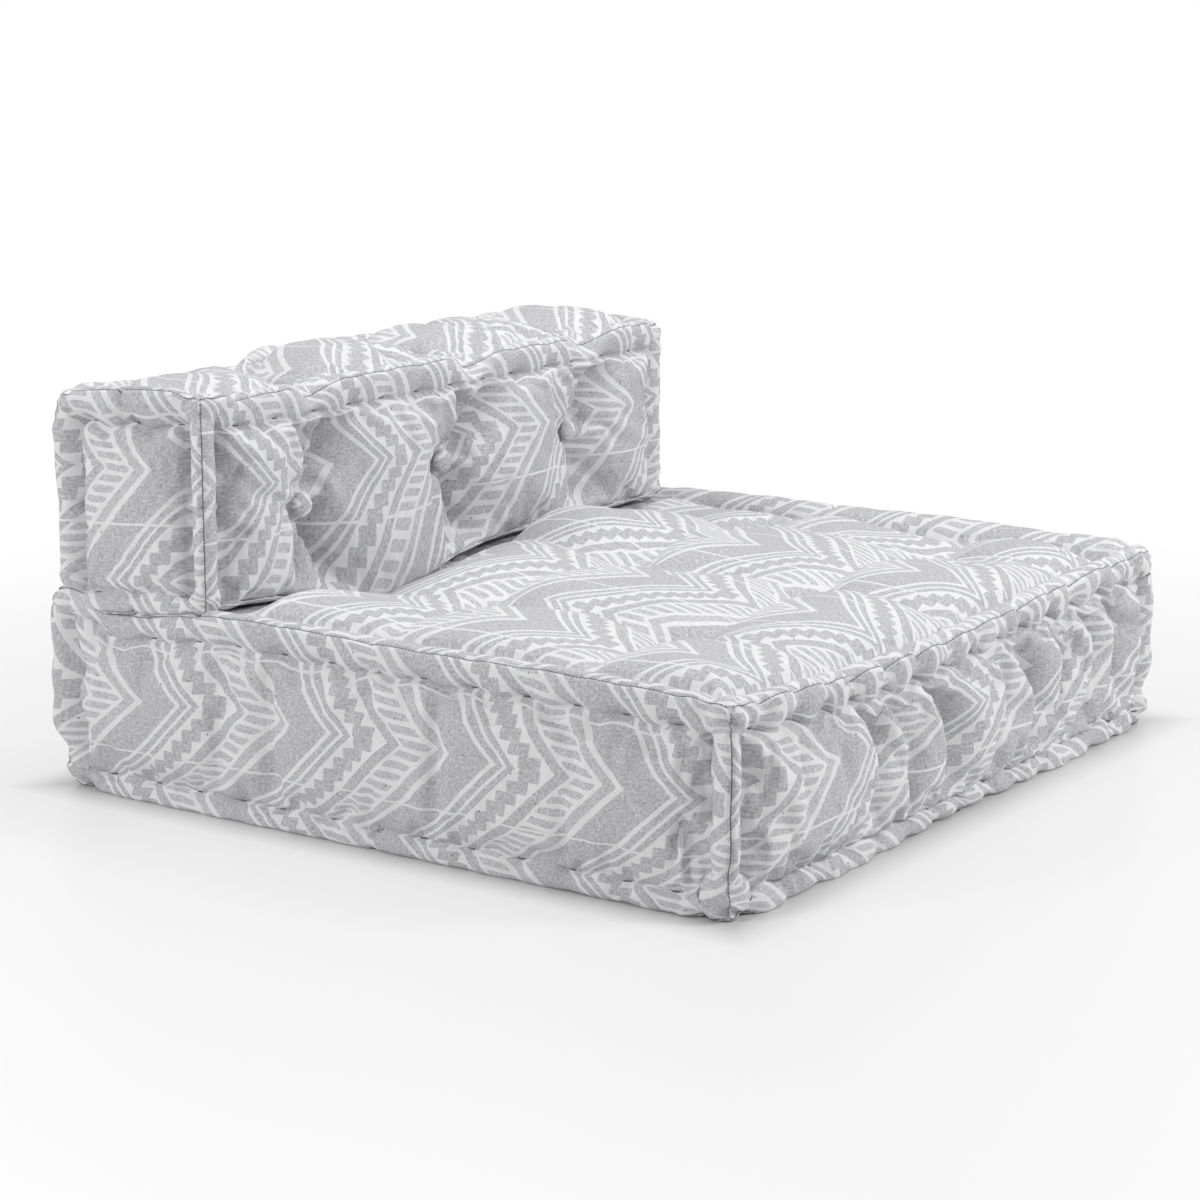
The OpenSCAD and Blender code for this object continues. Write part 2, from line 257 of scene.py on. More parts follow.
# %% Height of a panel
NEIGHBOURS = {
    "top": ("left", "right", "front", "back"), "bottom": ("left", "right", "back", "front"),
    "front": ("left", "right", "bottom", "top"), "back": ("right", "left", "bottom", "top"),
    "left": ("back", "front", "bottom", "top"), "right": ("front", "back", "bottom", "top"),
}
MITRE_CREASE, MITRE_WIDTH = 0.004, 0.006
DROOP_REACH = 0.02
INSIDE_FADE = 0.03


class Panel:
    """One panel's grid: its canvas coordinates u and v in metres, and its distances to its four edges."""

    def __init__(self, cushion, face):
        self.face = face
        self.cushion = cushion
        self.corner, self.across, self.up, self.out = panel_frame(cushion.box, face)
        size = cushion.box[1] - cushion.box[0]
        self.size = abs(self.across @ size), abs(self.up @ size)
        lines = [cushion.lines[int(np.argmax(np.abs(axis)))] for axis in (self.across, self.up)]
        self.u, self.v = np.meshgrid(*lines, indexing="ij")
        self.edges = np.array([self.u, self.size[0] - self.u, self.v, self.size[1] - self.v])
        self.near = -CORNER_BLEND * np.log(np.exp(-self.edges / CORNER_BLEND).sum(axis=0))
        self.near = np.clip(self.near, 0, None)
        share = np.exp(-self.edges / CORNER_BLEND)
        self.share = share / share.sum(axis=0)
        self.inside = smooth((self.near - ROLL_WIDTH) / INSIDE_FADE)

    def along(self, edge):
        """Place along one of the four edges on the sofa's own axes, for each point of the grid."""
        distance, axis = (self.v, self.up) if edge < 2 else (self.u, self.across)
        return float(self.corner @ np.abs(axis)) + distance * axis.sum()

    def on_edges(self, value):
        """A value that each edge has, given as a function of the neighbour's name and the place along."""
        return np.array([value(NEIGHBOURS[self.face][i], self.along(i)) for i in range(4)])

    def from_edges(self, value):
        """The same value blended over the panel, so that each point has most of its nearest edge's."""
        return (self.share * self.on_edges(value)).sum(axis=0)

    def base_height(self, crown, reach, groove):
        """Height above the box's side: the roll's round section, then from the groove up to the crown."""
        on_roll = -ROLL_RADIUS * (1 - np.cos(roll_angle(self.near)))
        extra = (groove - GROOVE_DEPTH) * smooth(self.near / ROLL_WIDTH) ** 2
        swell = pillow((self.near - ROLL_WIDTH) / reach)
        height = np.where(self.near < ROLL_WIDTH, on_roll - extra, -groove + (groove + crown) * swell)
        nearest = np.sort(self.edges, axis=0)
        both = np.exp(-((nearest[1] - nearest[0]) / MITRE_WIDTH) ** 2)
        ends = np.clip(nearest[0] / ROLL_WIDTH, 0, 1)
        return height - MITRE_CREASE * both * 4 * ends * (1 - ends)

    def points(self, height):
        """The grid on the sofa's own axes: places across, nipped at the seams, and the height outwards."""
        fade = smooth(1 - self.near / ROLL_WIDTH)
        nip = self.on_edges(lambda neighbour, s: self.cushion.nip(self.face, neighbour, s))
        fades = smooth(1 - self.edges / ROLL_WIDTH) * nip + SEAM_SINK * (self.edges < SEAM_LINE / 2)
        droop = self.on_edges(lambda neighbour, s: self.cushion.droop(self.face, neighbour, s))
        droop = droop * np.exp(-((self.edges - ROLL_WIDTH) / DROOP_REACH) ** 2) * self.share
        x = place_across(self.u, self.size[0]) + fades[0] - fades[1] + droop[0] - droop[1]
        y = place_across(self.v, self.size[1]) + fades[2] - fades[3] + droop[2] - droop[3]
        z = height - fade * (self.share * nip).sum(axis=0) - SEAM_SINK * (self.near < SEAM_LINE / 2)
        parts = [part[..., None] * axis for part, axis in ((x, self.across), (y, self.up), (z, self.out))]
        return self.corner + sum(parts)


# %% [markdown]
# The cushion keeps the lattice, what its edges do, and the points of each panel that has been shaped. The
# print is laid on with a UV map in metres of canvas, turned on each panel the way the cloth was cut.

# %% A cushion's cover
TAKE_HEIGHT, TAKE_FULL = 0.085, 0.03
ROLL_HOLD_EXTRA, GROOVE_HOLD_WIDTH = 0.003, 0.006
FACE_AXIS = {"left": 0, "right": 0, "front": 1, "back": 1, "top": 2, "bottom": 2}
PRINT_TURNS = {
    "top": ((0, -1), (1, 0)), "bottom": ((0, 1), (1, 0)), "front": ((1, 0), (0, 1)), "back": ((1, 0), (0, 1)),
    "left": ((1, 0), (0, 1)), "right": ((-1, 0), (0, 1)),
}


class Cushion:
    """The lattice of a cover, its edges' nips, and its points once the panels are shaped."""

    def __init__(self, name, box, step, seed, nip_sizes, droops, gathers, shifts, print_starts):
        self.name, self.box, self.seed = name, box, seed
        self.nip_sizes, self.droops, self.gathers = nip_sizes, droops, gathers
        self.shifts, self.print_starts = shifts, print_starts
        size = box[1] - box[0]
        self.lines = [lattice_lines(length, step) for length in size]
        counts = [len(line) for line in self.lines]
        i, j, k = np.indices(counts)
        skin = (i % (counts[0] - 1) == 0) | (j % (counts[1] - 1) == 0) | (k % (counts[2] - 1) == 0)
        ids = np.full(counts, -1)
        ids[skin] = np.arange(skin.sum())
        self.count = int(skin.sum())
        self.slices = panel_slices(ids)
        self.panels = {face: Panel(self, face) for face in FACES}
        self.points = np.zeros((self.count, 3))
        self.held = np.zeros(self.count)

    def stitches(self, face_a, face_b):
        """Places of the stitches along the edge between two faces."""
        axis = 3 - FACE_AXIS[face_a] - FACE_AXIS[face_b]
        seed, shift = self.seed + edge_seed(face_a, face_b), self.shifts.get(pair(face_a, face_b), 0.0)
        return stitch_places(self.box[0][axis], self.box[1][axis], seed, shift)

    def nip(self, face_a, face_b, s):
        """How far the seam between two faces is drawn in at places along it: at stitches, and unevenly."""
        places = self.stitches(face_a, face_b)
        ends = smooth((s - places.min()) / NIP_END + 1) * smooth((places.max() - s) / NIP_END + 1)
        seed = self.seed + edge_seed(face_a, face_b)
        drawn = nips(s, places, SEAM_BELL) + UNEVEN * waves(s, 0 * s, 0.09, seed)
        drawn = ends * self.nip_sizes[pair(face_a, face_b)] * drawn - ROLL_SWELL
        drawn = drawn + LONG_WAVE * ends * waves(s, 0 * s, 0.4, seed + 3)
        for place, width, depth in self.gathers.get(pair(face_a, face_b), ()):
            drawn = drawn + depth * np.exp(-((s - place) / width) ** 2)
        return drawn

    def droop(self, face_a, face_b, s):
        """How far a roll hangs over the panel beside it: by most halfway between two stitches."""
        size = self.droops.get(pair(face_a, face_b), DROOP) * (face_a in FACES[2:])
        uneven = 1 + UNEVEN * waves(s, 0 * s, 0.15, self.seed + 7 + edge_seed(face_a, face_b))
        return size * uneven * (1 - nips(s, self.stitches(face_a, face_b), DROOP_BELL))

    def shape(self, face, height, held):
        """Puts a panel's points in the cover, and how firmly each is held while the filling swells: the
        rolls and their grooves in full, and the rest by held."""
        panel = self.panels[face]
        ids = self.slices[face]
        self.points[ids] = panel.points(height)
        roll = np.where(panel.near < ROLL_WIDTH + ROLL_HOLD_EXTRA, 1.0, 0.0)
        groove = np.exp(-((panel.near - ROLL_WIDTH) / GROOVE_HOLD_WIDTH) ** 2)
        self.held[ids] = np.maximum(self.held[ids], np.maximum(np.maximum(roll, groove), held))

    def faces(self):
        """Four-sided faces of all panels, wound so that they point outwards, and the UV of each corner."""
        quads, uvs = [], []
        for face in FACES:
            ids, panel = self.slices[face], self.panels[face]
            turn = np.array(PRINT_TURNS[face], float)
            start_u, start_v, gather, shear, take = self.print_starts[face]
            uv = np.stack([panel.u, panel.v], axis=-1) @ turn.T + (0, start_v)
            uv[..., 1] -= take * smooth((TAKE_HEIGHT - panel.v) / (TAKE_HEIGHT - TAKE_FULL))
            uv[..., 0] = start_u + gather * uv[..., 0] + shear * uv[..., 1]
            for grid, rows in ((ids, quads), (uv, uvs)):
                corners = (grid[:-1, :-1], grid[1:, :-1], grid[1:, 1:], grid[:-1, 1:])
                rows.append(np.stack(corners, axis=2).reshape(-1, 4, *grid.shape[2:]))
        return np.concatenate(quads), np.concatenate(uvs)


def mesh_object(name, points, quads, uvs=None):
    """Puts whole arrays of points and four-sided faces into a new object at the origin."""
    mesh = bpy.data.meshes.new(name)
    mesh.from_pydata([], [], [])
    mesh.vertices.add(len(points))
    mesh.vertices.foreach_set("co", np.ascontiguousarray(points, np.float32).ravel())
    mesh.loops.add(quads.size)
    mesh.loops.foreach_set("vertex_index", np.ascontiguousarray(quads, np.int32).ravel())
    mesh.polygons.add(len(quads))
    mesh.polygons.foreach_set("loop_start", np.arange(0, quads.size, quads.shape[1], dtype=np.int32))
    if uvs is not None:
        layer = mesh.uv_layers.new(name="canvas")
        layer.data.foreach_set("uv", np.ascontiguousarray(uvs, np.float32).ravel())
    mesh.update(calc_edges=True)
    mesh.validate()
    mesh.polygons.foreach_set("use_smooth", np.ones(len(quads), bool))
    obj = bpy.data.objects.new(name, mesh)
    bpy.context.scene.collection.objects.link(obj)
    return obj


# %% [markdown]
# The seat's edges are stitched on the boxing, and its front edge is gathered the most. Its top is a field
# of low pillows between nine tufts. Its boxing is drawn into upright folds, which on the front lie over
# each other like the tiles of a roof.

# %% Seat: sizes and edges
EVEN_WIDTH = 10.0


def even(depth):
    """A gather so wide that it is the same along the whole edge."""
    return [(0.0, EVEN_WIDTH, depth)]


SEAT_NIPS = {
    pair("front", "top"): 0.0055, pair("front", "bottom"): 0.005, pair("left", "top"): 0.002,
    pair("left", "bottom"): 0.002, pair("right", "top"): 0.0012, pair("right", "bottom"): 0.002,
    pair("back", "top"): 0.002, pair("back", "bottom"): 0.002, pair("front", "left"): 0.002,
    pair("front", "right"): 0.0015, pair("back", "left"): 0.0015, pair("back", "right"): 0.0015,
}
SEAT_SHIFTS = {pair("front", "top"): 0.021}
# For each panel: start of its print along and across, gather, shear, and canvas taken up in the lower roll
SEAT_PRINT = {
    "top": (0.125, -0.13, 1, 0, 0), "bottom": (0, 0.07, 1, 0, 0),
    "front": (-0.197, -0.153, 0.94, -0.05, 0.03), "back": (0.1, -0.06, 1, 0, 0.02),
    "left": (-0.148, -0.134, 1, -0.135, 0.03), "right": (0.05, 0.02, 1, 0, 0.02),
}
# A gather is its place along the edge, its width, and how far it draws the seam in
SEAT_CORNER = [(0.062, 0.014, 0.008), (0.018, 0.02, -0.005), (0.12, 0.03, 0.002), (0.21, 0.02, -0.002)]
UPRIGHT_PAIRS = [("front", "left"), ("front", "right"), ("back", "left"), ("back", "right")]
SEAT_GATHERS = {pair(*faces): SEAT_CORNER for faces in UPRIGHT_PAIRS}
SEAT_GATHERS[pair("right", "top")] = even(-0.002)
SEAT_GATHERS[pair("left", "top")] = [(0.38, 0.1, 0.01)]
SEAT_GATHERS[pair("front", "top")] = [
    (-0.47, 0.012, 0.006), (-0.27, 0.014, 0.013), (-0.195, 0.012, 0.01), (-0.12, 0.014, 0.012),
    (0.145, 0.014, 0.011), (0.29, 0.013, 0.009), (0.415, 0.014, 0.011), (0.47, 0.012, 0.009),
]
SEAT_DROOPS = {
    pair("front", "top"): 0.013, pair("left", "top"): 0.006, pair("right", "top"): 0.007,
    pair("front", "bottom"): 0.009, pair("left", "bottom"): 0.006, pair("back", "top"): 0.006,
}
seat = Cushion("seat_cover", SEAT, 0.007, 100, SEAT_NIPS, SEAT_DROOPS, SEAT_GATHERS, SEAT_SHIFTS, SEAT_PRINT)

SEAT_TUFTS_X = (-0.3, 0.0, 0.3)
SEAT_TUFTS_Y = (-0.28, 0.0, 0.28)
SEAT_TUFTS = [(x, y) for x in SEAT_TUFTS_X for y in SEAT_TUFTS_Y]
SEAT_TUFT_DEPTH = 0.022
BUTTON_RADIUS = 0.0165
TUFT_FOLDS = 0.16


def tuft(x, y, centre, depth, reach, seed):
    """Depth that one button pulls into a panel: steep at first, then dying away, with gathers around it."""
    dx, dy = x - centre[0], y - centre[1]
    away = np.hypot(dx, dy)
    turn = np.arctan2(dy, dx)
    draw = np.random.default_rng(seed)
    first, second = draw.uniform(0, 2 * np.pi, 2)
    gathers = np.cos(5 * turn + first) + 0.7 * np.cos(8 * turn + second)
    free = np.clip(away - BUTTON_RADIUS, 0, None)
    fold = TUFT_FOLDS * gathers * smooth(free / 0.008) * np.exp(-free / (0.8 * reach))
    return depth * np.exp(-free / reach) * (1 + fold)


def sofa_x(panel):
    """X of a panel's points on the sofa's own axes."""
    return panel.corner[0] + panel.u * panel.across[0] + panel.v * panel.up[0]


def sofa_y(panel):
    """Y of a panel's points on the sofa's own axes."""
    return panel.corner[1] + panel.u * panel.across[1] + panel.v * panel.up[1]


def tufts(x, y, depth, reach, seed):
    """What all nine buttons of the seat's top or underside pull in."""
    return sum(tuft(x, y, centre, depth, reach, seed + i) for i, centre in enumerate(SEAT_TUFTS))


UPRIGHT_GROOVE = 0.011
LOWER_GROOVE = 0.35


def groove_depths(panel, deep, shallow):
    """Depth of the groove along each edge: deep at the stitches, and shallow between them."""
    def depth(neighbour, s):
        if {panel.face, neighbour} <= set(FACES[2:]):
            return shallow + UPRIGHT_GROOVE + 0 * s
        share = LOWER_GROOVE if neighbour == "bottom" else 1.0
        places = panel.cushion.stitches(panel.face, neighbour)
        return share * shallow + (deep - shallow) * nips(s, places, GROOVE_BELL)
    return panel.from_edges(depth)


# %% Seat: top
SEAT_CROWN = 0.032
PILLOW_REACH = 0.12
TOP_TUFT_DEPTH, TOP_TUFT_REACH = SEAT_TUFT_DEPTH + 0.3 * SEAT_CROWN, 0.028
VALLEY_STRENGTH, VALLEY_UNEVEN = 0.8, 0.25
VALLEY_WANDER = 0.015
VALLEY_FLOOR = 0.004
TOP_REACH, TOP_SINK = 0.075, 0.001
PRESS_START = BOLSTER[0][1]
PRESS_EDGE, PRESS_FADE = 0.005, 0.07
PRESSED_TUFT = 0.3
RIGHT_DIP, DIP_EDGE, DIP_FADE = -0.036, 0.04, 0.14
# Each hill or hollow of the top: its place, rise and width
SEAT_HILLS = [
    (-0.16, 0.02, 0.014, 0.12), (0.11, 0.05, 0.014, 0.12), (-0.03, -0.3, 0.008, 0.09),
    (-0.05, -0.1, -0.014, 0.06), (0.36, -0.2, -0.014, 0.07), (-0.42, -0.22, -0.01, 0.07),
    (-0.36, 0.12, -0.014, 0.06), (0.22, -0.36, -0.013, 0.06), (-0.4, -0.4, -0.012, 0.05),
    (0.38, 0.1, -0.012, 0.07), (0.08, 0.15, 0.02, 0.08),
]
HOLLOW_PLACE, HOLLOW_SIZE, HOLLOW_DEPTH = (-0.2, 0.24), (0.13, 0.085), 0.044


def seat_top():
    """Pillows between the tufts, lower along the tuft lines, and pressed flat where the bolster stands."""
    panel = seat.panels["top"]
    x, y = sofa_x(panel), sofa_y(panel)
    free = smooth((PRESS_START - PRESS_EDGE - y) / PRESS_FADE)
    swell = np.ones_like(x)
    for offset, lines, seed in ((x, SEAT_TUFTS_X, 41), (y, SEAT_TUFTS_Y, 42)):
        for line in lines:
            strength = VALLEY_STRENGTH + VALLEY_UNEVEN * waves(x, y, 0.35, seed + round(10 * line))
            away = np.abs(offset - (line + VALLEY_WANDER * waves(x, y, 0.3, seed + 5)))
            swell = np.minimum(swell, 1 - strength * (1 - pillow((away + VALLEY_FLOOR) / PILLOW_REACH)))
    crown = SEAT_CROWN * swell
    for hx, hy, rise, width in SEAT_HILLS:
        crown = crown + rise * np.exp(-((x - hx) ** 2 + (y - hy) ** 2) / width ** 2)
    crown = RIGHT_DIP + (crown - RIGHT_DIP) * smooth((SEAT[1][0] - DIP_EDGE - x) / DIP_FADE)
    height = panel.base_height(crown * free - TOP_SINK, TOP_REACH, groove_depths(panel, 0.009, 0.006))
    dents = tufts(x, y, TOP_TUFT_DEPTH, TOP_TUFT_REACH, 10)
    dents *= np.where(y > PRESS_START, PRESSED_TUFT, 1.0)
    aside, behind = (x - HOLLOW_PLACE[0]) / HOLLOW_SIZE[0], (y - HOLLOW_PLACE[1]) / HOLLOW_SIZE[1]
    hollow = HOLLOW_DEPTH * np.exp(-aside ** 2 - behind ** 2)
    return height + panel.inside * (0.001 * waves(x, y, 0.14, 6) * free - dents - hollow)


seat.shape("top", seat_top(), held=1.0)


# %% Seat: boxing
CREASE_HOLD = 0.01
CREST_POWER = 2.2
FOLD_STEEP, FOLD_SLOW = 0.02, 0.075
BOXING_REACH = 0.04
ROLL_FOLD_SHARE = 1.7


def tiled(u, v, creases, left, right):
    """Upright folds that lie over each other like the tiles of a roof. Each crease is its place as a
    function of v, and its strength. On its left the canvas drops steeply into it, and on its right it comes
    up slowly. Returns the height, 1 on crests and 0 in a full crease, and how firmly each point is held."""
    swell, held = np.ones_like(u), np.zeros_like(u)
    for line, strength in creases:
        d = u - line(v)
        rise = np.where(d < 0, pillow(-d / left), pillow(d / right) ** CREST_POWER)
        swell = np.minimum(swell, 1 - strength * (1 - rise))
        held = np.maximum(held, strength * np.exp(-(d / CREASE_HOLD) ** 2))
    return swell, held


def bowed(place, height, strength, bow=8):
    """A crease's place at each height v, place - bow (v - height)^2, and its strength."""
    return lambda v: place - bow * (v - height) ** 2, strength


FAN_LEAN, FAN_LENGTH, FAN_BEND, FAN_WIDTH = (-0.02, 0.014), (0.04, 0.085), (-0.004, 0.004), 0.006


def fans(face, seed, size):
    """Creases that run from each stitch into the boxing, a little askew and of uneven length."""
    panel = seat.panels[face]
    draw = np.random.default_rng(seed)
    axis = int(np.argmax(np.abs(panel.across)))
    height = np.zeros_like(panel.u)
    for neighbour, start, way in (("top", panel.size[1] - ROLL_WIDTH, -1), ("bottom", ROLL_WIDTH, 1)):
        for s in seat.stitches(face, neighbour):
            place = abs(s - panel.corner[axis])
            end = place + draw.uniform(*FAN_LEAN), start + way * draw.uniform(*FAN_LENGTH)
            bend, depth = draw.uniform(*FAN_BEND), size * draw.uniform(0.4, 1)
            height += crease(panel.u, panel.v, (place, start), end, bend, FAN_WIDTH, depth)
    return height


FOLD_ASIDE, FOLD_LEAN, FOLD_START, FOLD_END = (0.012, 0.04), (-0.012, 0.012), 0.008, (0.055, 0.075)
FOLD_BEND, FOLD_WIDTH = (-0.003, 0.003), 0.0055


def roll_folds(face, seed, size):
    """Short folds that cross the rolls on both sides of each stitch, where it takes up surplus canvas."""
    panel = seat.panels[face]
    draw = np.random.default_rng(seed)
    axis = int(np.argmax(np.abs(panel.across)))
    height = np.zeros_like(panel.u)
    for neighbour, seam, way, share in (("top", panel.size[1], -1, 0.5), ("bottom", 0.0, 1, 1.0)):
        for s in seat.stitches(face, neighbour):
            for side in (-0.5, 0.4):
                place = abs(s - panel.corner[axis]) + side * draw.uniform(*FOLD_ASIDE)
                start = place + draw.uniform(*FOLD_LEAN), seam + way * FOLD_START
                end = place, seam + way * draw.uniform(*FOLD_END)
                bend, depth = draw.uniform(*FOLD_BEND), share * size * draw.uniform(0.3, 1)
                height += crease(panel.u, panel.v, start, end, bend, FOLD_WIDTH, depth)
    return height


def boxing(face, lines, crown, deep, shallow, fold, fan, seed):
    """Shapes a boxing panel: grooves at both rolls, a crown, upright folds, and puckers at the stitches."""
    panel = seat.panels[face]
    swell, held = tiled(panel.u, panel.v, lines, FOLD_STEEP, FOLD_SLOW)
    height = panel.base_height(crown, BOXING_REACH, groove_depths(panel, deep, shallow))
    ruffle = 0.0012 * waves(panel.u, panel.v, 0.045, seed) + 0.0018 * waves(panel.u, panel.v, 0.1, seed + 1)
    relief = fold * (swell - 1) + ruffle + fans(face, seed, fan)
    height = height + panel.inside * relief + roll_folds(face, seed + 5, ROLL_FOLD_SHARE * fan)
    seat.shape(face, height, held=held * panel.inside)


FRONT_FOLDS = [
    bowed(0.312, 0.125, 0.85), bowed(0.39, 0.09, 0.6, 5), bowed(0.483, 0.09, 1.0, 5),
    bowed(0.635, 0.135, 0.5), bowed(0.71, 0.105, 0.8), bowed(0.793, 0.13, 0.55),
    bowed(0.878, 0.134, 1.0), bowed(0.948, 0.13, 0.7), bowed(1.03, 0.14, 0.6, 5),
]
LEFT_FOLDS = [bowed(0.26, 0.12, 0.8, 0.5), bowed(0.345, 0.12, 1.0, 0.5), bowed(0.6, 0.12, 0.4, 2)]
RIGHT_FOLDS = [
    bowed(0.2, 0.12, 1.0, 4), bowed(0.36, 0.12, 0.6), bowed(0.45, 0.13, 0.9, 5),
    bowed(0.72, 0.11, 1.0, 3),
]
BACK_FOLDS = [
    bowed(0.22, 0.12, 0.9, 3), bowed(0.44, 0.12, 1.0, 5), bowed(0.63, 0.13, 0.7, 4),
    bowed(0.85, 0.12, 1.0, 5),
]
boxing("front", FRONT_FOLDS, 0.012, 0.02, 0.01, fold=0.044, fan=0.005, seed=21)
boxing("left", LEFT_FOLDS, 0.005, 0.016, 0.008, fold=0.009, fan=0.003, seed=22)
boxing("right", RIGHT_FOLDS, 0.006, 0.017, 0.009, fold=0.028, fan=0.004, seed=23)
boxing("back", BACK_FOLDS, 0.006, 0.017, 0.009, fold=0.026, fan=0.003, seed=24)


# %% Seat: underside
FLAT_REACH = 0.03
UNDERSIDE_DENT, UNDERSIDE_REACH = 0.014, 0.02


def seat_bottom():
    """Flat on the floor inside its rolled edge, with a dent at each button."""
    panel = seat.panels["bottom"]
    x, y = sofa_x(panel), sofa_y(panel)
    height = panel.base_height(0.0, FLAT_REACH, groove_depths(panel, 0.006, 0.005))
    return height - panel.inside * tufts(x, y, UNDERSIDE_DENT, UNDERSIDE_REACH, 40)


seat.shape("bottom", seat_bottom(), held=1.0)

# %% [markdown]
# The bolster is tufted through from front to back. From each button a pleat opens upwards to the top roll,
# which is nipped there, and two creases spread below it.

# %% Bolster: sizes and edges
BOLSTER_NIPS = {
    pair("front", "top"): 0.0025, pair("front", "bottom"): 0.002, pair("left", "top"): 0.001,
    pair("left", "bottom"): 0.001, pair("right", "top"): 0.0015, pair("right", "bottom"): 0.0015,
    pair("back", "top"): 0.0025, pair("back", "bottom"): 0.002, pair("front", "left"): 0.0008,
    pair("front", "right"): 0.001, pair("back", "left"): 0.0008, pair("back", "right"): 0.001,
}
BOLSTER_GATHERS = {
    pair("front", "top"): [(-0.325, 0.034, 0.018), (0.005, 0.036, 0.02), (0.275, 0.03, 0.015)],
    pair("back", "top"): [
        (-0.33, 0.12, 0.014), (-0.225, 0.03, 0.012), (-0.045, 0.036, 0.02), (0.24, 0.034, 0.02),
    ],
    pair("front", "bottom"): even(0.01), pair("back", "bottom"): even(0.01),
    pair("left", "bottom"): even(0.004), pair("right", "bottom"): even(0.012),
    pair("left", "top"): even(-0.005),
}
BOLSTER_PRINT = {
    "top": (0.1, -0.03, 1, 0, 0), "bottom": (0, 0, 1, 0, 0),
    "front": (-0.042, -0.155, 1.108, 0, 0.012), "back": (0.03, 0.05, 1, 0, 0.012),
    "left": (-0.172, -0.1766, 1, -0.12, 0.01), "right": (0.08, -0.02, 1, 0, 0.01),
}
BOLSTER_DROOPS = {pair("front", "top"): 0.0025, pair("left", "top"): 0.009, pair("left", "bottom"): 0.006}
bolster = Cushion("bolster_cover", BOLSTER, 0.005, 200, BOLSTER_NIPS, BOLSTER_DROOPS, BOLSTER_GATHERS, {},
                  BOLSTER_PRINT)
BOLSTER_TUFT_Z = (BOLSTER[0][2] + BOLSTER[1][2]) / 2
BOLSTER_TUFT_DEPTH, BOLSTER_CROWN = 0.015, 0.015
BUTTON_DEPTH = BOLSTER_TUFT_DEPTH + BOLSTER_CROWN
TUFT_REACH, FACE_REACH = 0.042, 0.038
BOLSTER_TUFTS = [
    (-0.343, BOLSTER_TUFT_Z - 0.02), (-0.053, BOLSTER_TUFT_Z - 0.005), (0.237, BOLSTER_TUFT_Z - 0.003),
]
# Each pleat: its place, and the lean of its two creases above the button and below it
PLEATS = [
    (-0.36, (-0.015, 0.045), (-0.02, 0.06)), (-0.065, (0.02, 0.08), (0.0, 0.06)),
    (0.225, (-0.005, 0.045), (-0.01, 0.03)),
]
PLEAT_STEEP, PLEAT_SLOW = 0.017, 0.1
PLEAT_LENGTH, PLEAT_BOW, PLEAT_DEPTH = 0.1, 0.016, 0.064
PLEAT_MEETING = 0.01
# Each valley of the top: its X at the front and at the back
VALLEYS = [(-0.33, -0.22), (-0.02, -0.045), (0.27, 0.24)]
VALLEY_DEPTH = 0.036
TOP_CROWN, TOP_PILLOW_REACH, TOP_EDGE_REACH = 0.015, 0.1, 0.05
PIT_DEPTH, PIT_RADIUS, PIT_PLACE = 0.04, 0.009, (0.021, 0.004)
BUTTON_SEAT = 1.7
TUFT_HOLD_RADIUS = 0.026
LEFT_CROWN, LEFT_CROWN_FADE = 0.001, 0.08
END_CROWN, END_SOFTNESS, END_HOLD = 0.01, 0.045, 0.7


def around(x, y, centres, radius):
    """1 within radius of any of the centres, and 0 elsewhere."""
    return np.any([np.hypot(x - cx, y - cy) < radius for cx, cy in centres], axis=0).astype(float)


def pleat(tuft_x, above, below, side):
    """One crease of a pleat as a function of height. Two creases meet at the button: above and below it
    each leans away by the given amount over one pleat length."""
    def line(v):
        t = (v - (BOLSTER_TUFT_Z - PLEAT_MEETING - BOLSTER[0][2])) / PLEAT_LENGTH
        up, down = np.clip(t, 0, 1), np.clip(-t, 0, None)
        return tuft_x - BOLSTER[0][0] + above[side] * up + PLEAT_BOW * 4 * up * (1 - up) + below[side] * down
    return line, 1.0


def bolster_face(face):
    """Four pillows that lie over each other at three pleats, with a button in the narrow of each pleat."""
    panel = bolster.panels[face]
    x = sofa_x(panel)
    z = BOLSTER[0][2] + panel.v
    creases = [pleat(*shape, side) for shape in PLEATS for side in (0, 1)]
    swell, held = tiled(x - BOLSTER[0][0], panel.v, creases, PLEAT_STEEP, PLEAT_SLOW)
    height = panel.base_height(BOLSTER_CROWN, FACE_REACH, groove_depths(panel, 0.011, 0.004))
    dents = np.zeros_like(x)
    for i, centre in enumerate(BOLSTER_TUFTS):
        dents = np.maximum(dents, tuft(x, z, centre, BUTTON_DEPTH, TUFT_REACH, 60 + i))
    ruffle = 0.001 * waves(x, z, 0.04, 31) + 0.0015 * waves(x, z, 0.09, 32)
    held = np.maximum(held * panel.inside, around(x, z, BOLSTER_TUFTS, TUFT_HOLD_RADIUS))
    relief = ruffle - np.maximum(PLEAT_DEPTH * (1 - swell), dents)
    for cx, cz in BOLSTER_TUFTS:
        seat_share = smooth(BUTTON_SEAT - np.hypot(x - cx, z - cz) / BUTTON_RADIUS)
        relief += seat_share * (-BUTTON_DEPTH - relief)
        from_pit = np.hypot(x - cx + PIT_PLACE[0], z - cz + PIT_PLACE[1])
        relief -= PIT_DEPTH * np.exp(-(from_pit / PIT_RADIUS) ** 2)
    bolster.shape(face, height + panel.inside * relief, held=held)


